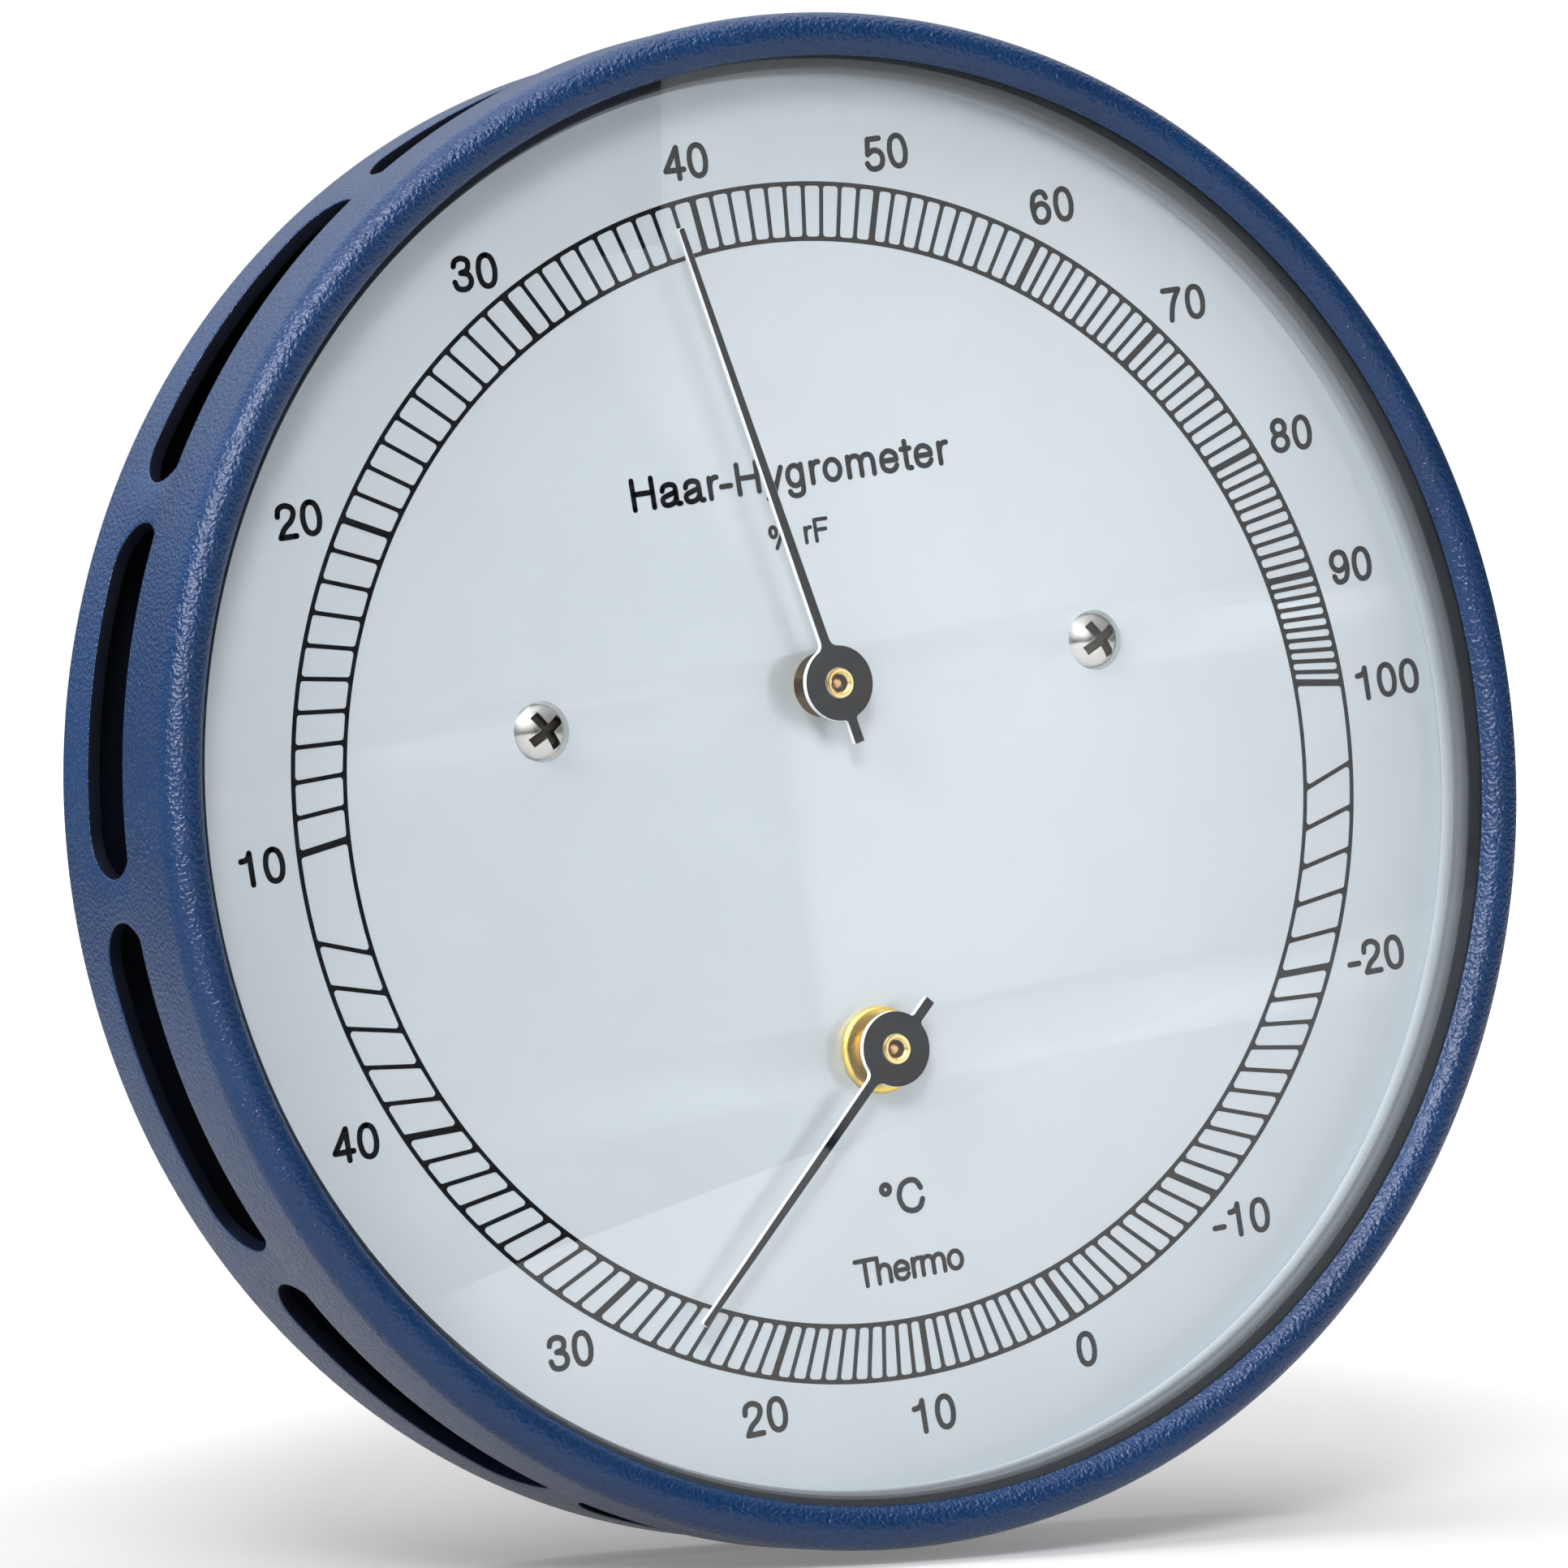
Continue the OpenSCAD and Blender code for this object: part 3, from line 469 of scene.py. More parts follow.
def makeHairTree():
    # A bundle of strands along the x axis, each with a little wander
    node, given, close = newTree("hairBundle", {"Strands": 40, "Bundle": 0.45,
                                 "Strand": 0.05, "Length": 30.0, "Wander": 0.04,
                                 "Seed": 3.0})
    spots = node("Points", {"Count": given["Strands"]})
    index = node("InputIndex")
    root = maths(node, "SQRT", maths(node, "DIVIDE", index, given["Strands"]))
    reach = maths(node, "MULTIPLY", root, given["Bundle"])
    angle = maths(node, "MULTIPLY", index, goldenAngle)
    spot = node("CombineXYZ", {"Y": maths(node, "MULTIPLY", maths(node, "SINE", angle), reach),
                               "Z": maths(node, "MULTIPLY", maths(node, "COSINE", angle), reach)})
    placed = node("SetPosition", {"Geometry": spots, "Position": spot})
    far = node("CombineXYZ", {"X": given["Length"]})
    line = node("CurvePrimitiveLine", {"End": far})
    fine = node("ResampleCurve", {"Curve": line, "Count": 24})
    copies = node("InstanceOnPoints", {"Points": placed, "Instance": fine})
    real = node("RealizeInstances", {"Geometry": copies})
    noise = node("TexNoise", {"W": given["Seed"], "Scale": 0.35, "Detail": 1.0}, noise_dimensions="4D")
    centred = node("VectorMath", {0: noise.outputs["Color"], 1: (0.5, 0.5, 0.5)}, operation="SUBTRACT")
    wander = node("VectorMath", {0: centred, "Scale": given["Wander"]}, operation="SCALE")
    moved = node("SetPosition", {"Geometry": real, "Offset": wander})
    section = node("CurvePrimitiveCircle", {"Resolution": 6, "Radius": given["Strand"]})
    return close(node("CurveToMesh", {"Curve": moved, "Profile Curve": section, "Fill Caps": True}))


# Case: a can with a round-ended vent slot in each sector of its wall
canSpan = span("case_shell")
case = {"outer": canSpan["right"], "wall": 1.0, "corner": 1.5, "front": canSpan["front"], "slots": 12,
        "slotRear": 5.1, "slotWidth": 6.3, "web": 2.9, "margin": 0.8, "stripFront": 14.2, "stripRear": 2.9,
        "edge": 0.14, "backRing": 46.0,  # then the rear wall's holes, as places and radii
        "keyhole": (34.0, 3.5), "keySlot": (40.0, 1.8), "access": (-38.0, -5.9865, 2.5)}


def caseSector():
    # One sector of the wall: the slot's outline joined to a rectangle, and plain strips to both ends. The
    # outline has straight runs of 7 steps to each side of the middle and ends in steps of 9 degrees
    outer, radius, corner = case["outer"], case["slotWidth"] / 2, case["corner"]
    half = math.pi / case["slots"]
    reach = outer * math.sin(half - case["web"] / 2 / outer) - radius
    middle, edge = case["slotRear"] + radius, radius + case["margin"]
    bend = math.asin(reach / outer)

    def ending(angle):
        return (reach + radius * math.cos(math.radians(angle)), radius * math.sin(math.radians(angle)))

    pairs = []
    for i in range(14):
        t = -reach + reach * i / 7
        pairs.append(((t, -radius), (math.asin(t / outer), -edge)))
    pairs += [(ending(-90 + 9 * i), (bend + (half - bend) * i / 5, -edge)) for i in range(5)]
    pairs += [(ending(-45 + 9 * i), (half, -edge + edge * i / 5)) for i in range(10)]
    pairs += [(ending(45 + 9 * i), (half + (bend - half) * i / 5, edge)) for i in range(5)]
    pairs += [((-t, -v), (-p, -w)) for (t, v), (p, w) in pairs]
    columns = sorted({round(p, 7) for _, (p, w) in pairs if w == edge} | {-half, half})

    def spot(angle, r, d):
        return polar(r, angle + half) + (d,)

    vertices, faces = [], []
    for i in range(len(pairs)):
        (t0, v0), (p0, w0) = pairs[i]
        (t1, v1), (p1, w1) = pairs[(i + 1) % len(pairs)]
        base = len(vertices)
        vertices += [spot(math.asin(t0 / outer), outer, middle + v0),
                     spot(math.asin(t1 / outer), outer, middle + v1),
                     spot(p1, outer, middle + w1), spot(p0, outer, middle + w0)]
        faces.append(tuple(range(base, base + 4)))
    ahead = [(outer, middle + edge), (outer, case["stripFront"]), (outer, case["front"])]
    behind = [(outer, middle - edge), (outer, case["stripRear"])]
    behind += [(outer - corner + r, corner - d) for r, d in arc(corner, 0, 90, 10)] + [(case["backRing"], 0)]
    for rows in (ahead, behind):
        for (r0, d0), (r1, d1) in zip(rows, rows[1:]):
            for p0, p1 in zip(columns, columns[1:]):
                base = len(vertices)
                vertices += [spot(p0, r0, d0), spot(p1, r0, d0), spot(p1, r1, d1), spot(p0, r1, d1)]
                faces.append(tuple(range(base, base + 4)))
    return cleaned(newMesh("sector", vertices, faces), 0.0008)


def caseRear(mesh):
    # Fills the rear wall inside the last ring and leaves the hanging hole and the adjuster's hole
    work = bmesh.new()
    work.from_mesh(mesh)
    border = [e for e in work.edges if e.is_boundary and all(v.co.z < 0.01 for v in e.verts)]
    (hangY, hangR), (slotY, slotR), (holeX, holeY, holeR) = case["keyhole"], case["keySlot"], case["access"]
    gap = 90 + math.degrees(math.asin(slotR / hangR))
    for outline in (arc(hangR, gap, 540 - gap, 48, (0, hangY)) + arc(slotR, 0, 180, 24, (0, slotY)),
                    arc(holeR, 0, 360, 48, (holeX, holeY))[:-1]):
        spots = [work.verts.new((x, y, 0)) for x, y in outline]
        border += [work.edges.new((a, b)) for a, b in zip(spots, spots[1:] + spots[:1])]
    painted = work.faces[:][0].material_index
    for made in bmesh.ops.triangle_fill(work, edges=border, use_beauty=True)["geom"]:
        if isinstance(made, bmesh.types.BMFace):
            made.material_index = painted
    bmesh.ops.recalc_face_normals(work, faces=work.faces)
    side = max(work.faces, key=lambda face: face.calc_center_median().to_2d().length)
    if side.normal.to_2d().dot(side.calc_center_median().to_2d()) < 0:
        bmesh.ops.reverse_faces(work, faces=work.faces)
    work.to_mesh(mesh)
    work.free()
    return mesh


def thickened(mesh, wall, edge):
    # A wall inwards from the skin, with rounded edges at its rims
    piece = newObject("worked", mesh)
    solid = piece.modifiers.new("wall", "SOLIDIFY")
    # The inner side and the rims take the next finish, the painted shade
    solid.material_offset = solid.material_offset_rim = 1
    solid.thickness, solid.offset, solid.use_even_offset = wall, -1, True
    eased = piece.modifiers.new("edges", "BEVEL")
    eased.width, eased.segments, eased.limit_method, eased.angle_limit = edge, 3, "ANGLE", math.radians(50)
    return evaluated(piece)


roundTree = makeRoundTree()
shell = runTree(roundTree, caseSector(), {"Count": case["slots"], "Merge": 0.002, "Finish": bluePaint})
# Second finish: painted shade on the can's inside and the slots' cut faces
shell.materials.append(caseInsideShade)
shell = thickened(caseRear(shell), case["wall"], case["edge"])
caseShell = finishPiece("caseShell", shell, "case", "blue_paint", (bluePaint, caseInsideShade), ["case_shell"], 40)
print("case made:", len(shell.polygons), "faces")

# Bezel: a thin sleeve over the case and a bead that turns in over the glass
bezelSpan = span("bezel_ring")
bezel = {"outer": bezelSpan["right"], "bore": 51.05, "rear": bezelSpan["rear"], "crest": bezelSpan["front"],
         "bead": 1.55, "lip": 17.9, "steps": 360}


def bezelProfile():
    outer, bore, bead, lip, rear = (bezel[key] for key in ("outer", "bore", "bead", "lip", "rear"))
    middle = (outer - bead, bezel["crest"] - bead)
    inner = middle[0] - math.sqrt(bead ** 2 - (lip - middle[1]) ** 2)
    start = rounded([(bore, lip, 0), (bore, rear, 0.06), (outer, rear, 0.16), (outer, middle[1], 0)], 4)
    end = [(inner + 0.03, lip + 0.16), (inner + 0.05, lip + 0.04), (inner + 0.12, lip)]
    return start + arc(bead, 4, 152, 34, middle) + end


bezelRing = finishPiece("bezelRing", lathe(bezelProfile(), bezel["steps"]), "case", "blue_paint", bluePaint,
                        ["bezel_ring"], 50)


# Rings behind the glass
def ringProfile(node, width, edge):
    box = span(node)
    outer, rear, ahead = box["right"], box["rear"], box["front"]
    return rounded([(outer - width, rear, edge), (outer, rear, edge), (outer, ahead, edge),
                    (outer - width, ahead, edge)], 4)


for name, node, width, edge, slot, surface in (
        ("gasketRing", "glass_gasket", 2.0, 0.25, "gasket", rubberInShade),
        ("spacerRing", "spacer_ring", 2.3, 0.15, "grey_ring", greyRing),
        ("seatRing", "dial_seat_ring", 3.0, 0.12, "grey_ring", greyRing)):
    finishPiece(name, lathe(ringProfile(node, width, edge), 300), "case", slot, surface, [node], 50)

# Dial plate with its window, the hole for the bush and two screw holes
dialSpan, screwSpan = span("dial_plate"), span("dial_screws")
dial = {"radius": dialSpan["right"], "rear": dialSpan["rear"], "front": dialSpan["front"], "edge": 0.08,
        "window": 2.15, "bushHole": 2.05, "screwHole": 1.05, "screwX": 21.4}
holes = [(hygroAt, dial["window"]), (thermoAt, dial["bushHole"])]
holes += [((side * dial["screwX"], hygroAt[1]), dial["screwHole"]) for side in (-1, 1)]
plate = sheet([arc(dial["radius"], 0, 360, 360)[:-1]] + [arc(r, 0, 360, 72, at)[:-1] for at, r in holes],
              dial["rear"], dial["front"], dial["edge"])
finishPiece("dialPlate", plate, "case", "dial", dialLacquer, ["dial_plate"])
print("rings and dial made")

# Scale: cells between ticks that point at each pointer's own arbor
scale = {"unit": 40.5, "inner": 0.90024, "line": 0.30, "minor": 0.30, "major": 0.47, "corner": 0.22,
         "print": 0.03, "sunk": 0.01, "chord": 1.6,
         "percent": [-97.6, -64.6, -33.7, -7.05, 17.1, 38.6, 55.9, 72.8, 86.9, 98.06],
         "lowest": -25, "highest": 45, "perDegree": 3.0, "even": 30, "stretch": 0.76}


def ticks():
    # (arbor, angle clockwise from up, width) for every tick, clockwise round the dial
    made = []
    for low, high in zip(scale["percent"], scale["percent"][1:]):
        made += [(hygroAt, low + (high - low) * i / 10, scale["minor"] if i else scale["major"]) for i in range(10)]
    made.append((hygroAt, scale["percent"][-1], scale["major"]))
    for value in range(scale["lowest"], scale["highest"] + 1):
        steps = abs(value - 10)
        turn = steps * scale["perDegree"] + max(steps - scale["even"], 0) * scale["stretch"]
        made.append((thermoAt, 180 + math.copysign(turn, value - 10),
                     scale["minor"] if value % 10 else scale["major"]))
    return made


def tickEdge(tick, side, radius):
    # Where one side of a tick meets a circle about the case's axis
    (x, y), angle, width = tick
    along = Vector((math.sin(math.radians(angle)), math.cos(math.radians(angle))))
    start = Vector((x, y)) + side * width / 2 * Vector((along.y, -along.x))
    ahead = start.dot(along)
    return start + along * (-ahead + math.sqrt(ahead ** 2 - start.length_squared + radius ** 2))


def cellMesh():
    vertices, edges = [], []
    outer = scale["unit"] - scale["line"]
    inner = scale["unit"] * scale["inner"] + scale["line"]
    marks = ticks()
    for before, after in zip(marks, marks[1:] + marks[:1]):
        outline = []
        for radius, first, second in ((outer, (before, 1), (after, -1)), (inner, (after, -1), (before, 1))):
            a, b = tickEdge(*first, radius), tickEdge(*second, radius)
            turn = a.angle_signed(b)
            steps = max(1, round(abs(turn) * radius / scale["chord"]))
            outline += [Matrix.Rotation(-turn * i / steps, 2) @ a for i in range(steps + 1)]
        base, count = len(vertices), len(outline)
        vertices += [(p.x, p.y) for p in outline]
        edges += [(base + i, base + (i + 1) % count) for i in range(count)]
    return newMesh("cells", vertices, [], edges)


band = runTree(makeScaleTree(), cellMesh(), {"Outer": scale["unit"], "Inner": scale["unit"] * scale["inner"],
               "Corner": scale["corner"], "Thickness": scale["print"], "Finish": dialInk})
band.transform(Matrix.Translation((0, 0, dial["front"] - scale["sunk"])))
finishPiece("scaleBand", band, "case", "dial", dialInk, sharp=30)

# Lettering: single strokes on a cap height of 1, as (advance, [(kind, points)]), where l is straight, s is a
# smooth line, o is a closed one and e is an ellipse given by its centre and radii
glyphs = {
    "0": (0.774, [("o", [(.387, .94), (.57, .83), (.642, .5), (.57, .17), (.387, .06), (.204, .17), (.132, .5),
          (.204, .83)])]),
    "1": (0.774, [("l", [(.45, .06), (.45, .94)]), ("s", [(.45, .94), (.40, .82), (.30, .755), (.17, .74)])]),
    "2": (0.774, [("s", [(.14, .66), (.19, .86), (.39, .94), (.59, .85), (.63, .68), (.52, .48), (.30, .30),
          (.15, .06)]), ("l", [(.15, .06), (.64, .06)])]),
    "3": (0.774, [("s", [(.14, .74), (.20, .88), (.38, .94), (.56, .87), (.60, .73), (.53, .58), (.34, .53)]),
          ("s", [(.34, .53), (.56, .47), (.64, .29), (.56, .12), (.38, .06), (.19, .12), (.12, .29)])]),
    "4": (0.774, [("l", [(.52, .06), (.52, .94), (.10, .30), (.68, .30)])]),
    "5": (0.774, [("l", [(.60, .93), (.23, .93), (.17, .50)]), ("s", [(.17, .50), (.38, .60), (.58, .52),
          (.64, .33), (.56, .13), (.37, .06), (.20, .11), (.12, .24)])]),
    "6": (0.774, [("s", [(.60, .76), (.53, .90), (.39, .94), (.22, .86), (.135, .64), (.13, .40), (.20, .14),
          (.39, .06), (.57, .14), (.64, .34), (.57, .52), (.40, .60), (.22, .52), (.13, .36)])]),
    "7": (0.774, [("l", [(.12, .93), (.65, .93)]), ("s", [(.65, .93), (.47, .66), (.36, .38), (.30, .06)])]),
    "8": (0.774, [("e", (.387, .735, .205, .205)), ("e", (.387, .295, .25, .235))]),
    "-": (0.464, [("l", [(.06, .36), (.38, .36)])]),
    "H": (1.006, [("l", [(.17, .06), (.17, .94)]), ("l", [(.83, .06), (.83, .94)]), ("l", [(.17, .52),
          (.83, .52)])]),
    "a": (0.774, [("s", [(.13, .50), (.19, .62), (.36, .67), (.54, .62), (.58, .48), (.58, .17), (.62, .07),
          (.70, .06)]), ("s", [(.58, .42), (.34, .36), (.15, .29), (.11, .19), (.16, .09), (.29, .055),
          (.48, .11), (.58, .26)])]),
    "r": (0.464, [("l", [(.16, .06), (.16, .67)]), ("s", [(.16, .42), (.22, .59), (.33, .67), (.42, .67)])]),
    "y": (0.696, [("l", [(.07, .67), (.35, .06)]), ("s", [(.63, .67), (.36, .04), (.27, -.18), (.17, -.22),
          (.09, -.21)])]),
    "g": (0.774, [("l", [(.60, .67), (.60, -.02)]), ("s", [(.60, -.02), (.55, -.19), (.36, -.25), (.19, -.20),
          (.13, -.10)]), ("e", (.36, .36, .245, .305))]),
    "o": (0.774, [("e", (.387, .365, .26, .305))]),
    "m": (1.16, [("l", [(.15, .06), (.15, .67)]), ("l", [(.58, .06), (.58, .46)]), ("l", [(1.01, .06),
          (1.01, .46)]), ("s", [(.15, .46), (.24, .62), (.38, .67), (.52, .62), (.58, .46)]), ("s", [(.58, .46),
          (.67, .62), (.81, .67), (.95, .62), (1.01, .46)])]),
    "e": (0.774, [("l", [(.13, .38), (.64, .38)]), ("s", [(.64, .38), (.60, .56), (.39, .67), (.19, .58),
          (.13, .37), (.19, .14), (.39, .055), (.56, .11), (.63, .21)])]),
    "t": (0.387, [("l", [(.05, .655), (.34, .655)]), ("s", [(.19, .88), (.19, .50), (.19, .18), (.22, .08),
          (.33, .06)])]),
    "T": (0.851, [("l", [(.05, .94), (.80, .94)]), ("l", [(.425, .94), (.425, .06)])]),
    "h": (0.774, [("l", [(.15, .06), (.15, .94)]), ("s", [(.15, .46), (.26, .62), (.40, .67), (.55, .61),
          (.61, .46)]), ("l", [(.61, .46), (.61, .06)])]),
    "F": (0.851, [("l", [(.18, .06), (.18, .94), (.74, .94)]), ("l", [(.18, .52), (.66, .52)])]),
    "C": (1.0, [("s", [(.86, .68), (.74, .88), (.51, .94), (.25, .82), (.13, .5), (.25, .18), (.51, .06),
          (.75, .13), (.87, .34)])]),
    "°": (0.557, [("e", (.28, .80, .13, .13))]),
    "%": (1.238, [("e", (.28, .70, .15, .21)), ("e", (.96, .28, .15, .21)), ("l", [(.88, .98), (.36, .02)])]),
    " ": (0.387, []),
}
glyphs["9"] = (0.774, [("s", [(.774 - x, 1 - y) for x, y in glyphs["6"][1][0][1]])])


def flowing(points, closed, steps=7):
    # Smooth line through points
    count = len(points)
    spots = []
    for i in range(count if closed else count - 1):
        near = [points[(i + k) % count] if closed else points[min(max(i + k, 0), count - 1)] for k in (-1, 0, 1, 2)]
        p0, p1, p2, p3 = (Vector(p) for p in near)
        for k in range(steps):
            s = k / steps
            spots.append(0.5 * (2 * p1 + (p2 - p0) * s + (2 * p0 - 5 * p1 + 4 * p2 - p3) * s ** 2
                                + (3 * p1 - p0 - 3 * p2 + p3) * s ** 3))
    return spots if closed else spots + [Vector(points[-1])]


def strokesOf(glyph):
    # Each stroke as (spots, closed); a line with corners is split so that its joints are round
    for kind, points in glyph[1]:
        if kind == "l":
            for a, b in zip(points, points[1:]):
                yield [Vector(a), Vector(b)], False
        elif kind == "e":
            x, y, across, above = points
            yield [Vector((x + across * math.sin(fullTurn * i / 36),
                           y + above * math.cos(fullTurn * i / 36))) for i in range(36)], True
        else:
            yield flowing(points, kind == "o"), kind == "o"


def textMesh(lines):
    # Drawn lines of several texts, given as (text, x, y, cap height, width or None), each centred on its place
    vertices, edges = [], []
    lift = 0
    for text, x, y, cap, width in lines:
        natural = sum(glyphs[letter][0] for letter in text)
        spread = (width / cap - natural) / max(len(text) - 1, 1) if width else 0
        pen = -(natural + spread * (len(text) - 1)) / 2
        for letter in text:
            for spots, closed in strokesOf(glyphs[letter]):
                lift = (lift + 1) % 4
                base = len(vertices)
                vertices += [(x + (pen + p.x) * cap, y + (p.y - 0.5) * cap,
                              lift * lettering["stagger"]) for p in spots]
                edges += [(base + i, base + i + 1) for i in range(len(spots) - 1)]
                if closed:
                    edges.append((base + len(spots) - 1, base))
            pen += glyphs[letter][0] + spread
    return newMesh("strokes", vertices, [], edges)


inkTree = makeInkTree()
lettering = {"cap": 2.35, "weight": 0.168, "ink": 0.02, "lift": 0.003, "stagger": 0.0016,
             "percent": [(10, -1.064, .020), (20, -.903, .564), (30, -.520, .920), (40, -.103, 1.052),
                         (50, .274, 1.023), (60, .575, .896), (70, .801, .701), (80, .971, .454),
                         (90, 1.049, .216), (100, 1.086, .013)],
             "degrees": [(-20, .981, -.449), (-10, .639, -.846), (0, .303, -1.010), (10, -.004, -1.065),
                         (20, -.316, -1.013), (30, -.651, -.843), (40, -.975, -.445)],
             "words": [("Haar-Hygrometer", 0, .520, .055, .609), ("% rF", 0, .417, .040, None),
                       ("°C", 0, -.700, .058, None), ("Thermo", -.005, -.813, .048, .21)]}
unit = scale["unit"]


def printWords(name, lines, cap):
    printed = runTree(inkTree, textMesh(lines), {"Width": cap * lettering["weight"], "Thickness": lettering["ink"],
                                                 "Finish": dialInk})
    printed.transform(Matrix.Translation((0, 0, dial["front"] + lettering["lift"])))
    finishPiece(name, printed, "case", "dial", dialInk, sharp=30)


cap = lettering["cap"]
printWords("scaleNumbers", [(str(value), u * unit, w * unit, cap, None)
                            for value, u, w in lettering["percent"] + lettering["degrees"]], cap)
for name, (text, u, w, cap, width) in zip(("titleWord", "percentUnit", "degreeUnit", "thermoWord"),
                                          lettering["words"]):
    printWords(name, [(text, u * unit, w * unit, cap * unit, width * unit if width else None)], cap * unit)
print("print made")

# Dial screws: domed heads with a pressed cross recess, whose deep faces are painted dark as shade
screw = {"head": 2.05, "rise": 1.0, "arm": 1.30, "slot": 0.30, "wall": 0.10, "depth": 0.60, "turn": 30.0,
         "rings": 56, "steps": 216, "shank": 1.0, "floorRise": 0.12, "shadeBelow": 0.18}


def screwHead(at):
    radius, rise, count = screw["head"], screw["rise"], screw["steps"]
    dome = (radius ** 2 + rise ** 2) / (2 * rise)
    turn = math.radians(screw["turn"])

    def height(x, y):
        r = math.hypot(x, y)
        u, v = x * math.cos(turn) + y * math.sin(turn), y * math.cos(turn) - x * math.sin(turn)
        level = math.sqrt(max(dome ** 2 - r ** 2, 0)) + rise - dome
        arm, slot = screw["arm"], screw["slot"]
        inside = max(min(arm - abs(u), slot - abs(v)), min(arm - abs(v), slot - abs(u)))
        s = min(max(inside / screw["wall"] + 0.5, 0), 1)
        return level - (screw["depth"] - screw["floorRise"] * r) * s * s * (3 - 2 * s)

    vertices = [(0, 0, height(0, 0))]
    for i in range(1, screw["rings"] + 1):
        r = radius * i / screw["rings"]
        vertices += [spot + (height(*spot),) for spot in (polar(r, fullTurn * k / count) for k in range(count))]
    faces = [(0, 1 + k, 1 + (k + 1) % count) for k in range(count)]
    for i in range(screw["rings"] - 1):
        a = 1 + i * count
        faces += [(a + k, a + count + k, a + count + (k + 1) % count, a + (k + 1) % count) for k in range(count)]
    mesh = newMesh("head", vertices, faces)
    # Faces sunk deeper than the limit take the dark finish: painted shade in the recess
    for face in mesh.polygons:
        x, y = face.center.x, face.center.y
        level = math.sqrt(max(dome ** 2 - x * x - y * y, 0)) + rise - dome
        face.material_index = int(level - face.center.z > screw["shadeBelow"])
    mesh.transform(Matrix.Translation((*at, dial["front"])))
    return mesh


def joinMeshes(meshes):
    # Every face keeps the number of its finish
    work = bmesh.new()
    for mesh in meshes:
        work.from_mesh(mesh)
        bpy.data.meshes.remove(mesh)
    made = bpy.data.meshes.new("joined")
    work.to_mesh(made)
    work.free()
    return made


pieces, shank, rear = [], screw["shank"], screwSpan["rear"]
profile = [(0, rear), (shank - 0.15, rear), (shank, rear + 0.15), (shank, dial["front"] - 0.1)]
for side in (-1, 1):
    at = (side * dial["screwX"], hygroAt[1])
    pieces += [screwHead(at), lathe(profile, 48, at, False)]
finishPiece("dialScrews", joinMeshes(pieces), "case", "steel", (brightNickel, recessShade), ["dial_screws"], 60)


# Pointers cut from sheet, painted on their faces and bare on their edges
pointer = {"hub": 2.55, "root": 0.75, "tip": 0.45, "tail": 4.26, "hole": 1.03, "edge": 0.035,
           "neck": 0.5, "flare": 0.4, "corner": 0.12,
           "hygro": (11.7, 32.3), "thermo": (132.1, 23.5)}  # turned from straight up, and reach


def pointerOutline(reach):
    hub, root, tip, tail = pointer["hub"], pointer["root"] / 2, pointer["tip"] / 2, pointer["tail"]
    rise, flare = hub + pointer["neck"], root + pointer["flare"]
    foot = (flare, math.sqrt(hub ** 2 - flare ** 2))
    neck = (root + (tip - root) * rise / reach, rise)
    bend = (neck[0] + 0.02, hub + 0.02)
    fillet = [tuple((1 - s) ** 2 * a + 2 * s * (1 - s) * b + s * s * c for a, b, c in zip(neck, bend, foot))
              for s in (k / 6 for k in range(7))]
    start = math.degrees(math.atan2(foot[1], foot[0]))
    stop = -90 + math.degrees(math.asin((root + pointer["corner"]) / hub))
    right = [(tip - 0.08, reach), (tip, reach - 0.10)] + fillet + arc(hub, start, stop, 40)[1:]
    right += [(root, -hub - pointer["corner"]), (root, -tail + 0.06), (root - 0.06, -tail)]
    return right + [(-x, y) for x, y in reversed(right)]


for kind, at in (("hygro", hygroAt), ("thermo", thermoAt)):
    box, (angle, reach) = span(kind + "_pointer"), pointer[kind]
    outlines = [pointerOutline(reach), arc(pointer["hole"], 0, 360, 64)[:-1]]
    mesh = sheet(outlines, box["rear"], box["front"], pointer["edge"])
    mesh.transform(Matrix.Translation((*at, 0)) @ Matrix.Rotation(math.radians(angle), 4, "Z"))
    for face in mesh.polygons:
        face.material_index = int(abs(face.normal.z) <= 0.9)
    finishPiece(kind + "Pointer", mesh, kind + "_spindle", "pointer_black", (pointerPaint, cutSteel),
                [kind + "_pointer"], 30)

# Brass bushes in the hubs
bush = {"bore": 0.6, "neck": 1.03, "collar": 1.6, "countersink": 0.17}
hubBack = span("hygro_pointer")["rear"]
for kind, at in (("hygro", hygroAt), ("thermo", thermoAt)):
    box = span(kind + "_pointer_bush")
    bore, neck, collar, sunk = bush.values()
    rear, top = box["rear"], box["front"]
    profile = rounded([(bore, rear, 0.05), (collar, rear, 0.15), (collar, hubBack, 0.08), (neck, hubBack, 0),
                       (neck, top, 0.07), (bore + sunk, top, 0.03), (bore, top - sunk, 0.03)], 4)
    finishPiece(kind + "PointerBush", lathe(profile, 72, at), kind + "_spindle", "brass", bushBrass,
                [kind + "_pointer_bush"], 50)

# Thermometer bush: sleeve through the dial and a flange with a full round edge
flange = {"radius": 2.95, "rise": 0.55, "sleeve": 2.0, "bore": 0.65}
radius, rise, sleeve, bore = flange.values()
edge, level, rear = rise / 2, dial["front"], span("thermo_bush")["rear"]
profile = [(bore, rear + 0.1), (bore + 0.1, rear), (sleeve - 0.1, rear), (sleeve, rear + 0.1), (sleeve, level)]
profile += arc(edge, -90, 90, 14, (radius - edge, level + edge))
profile += [(bore + 0.08, level + rise), (bore, level + rise - 0.08)]
finishPiece("thermoBush", lathe(profile, 120, thermoAt), "case", "brass", goldBrass, ["thermo_bush"], 50)
print("pointers and bushes made")
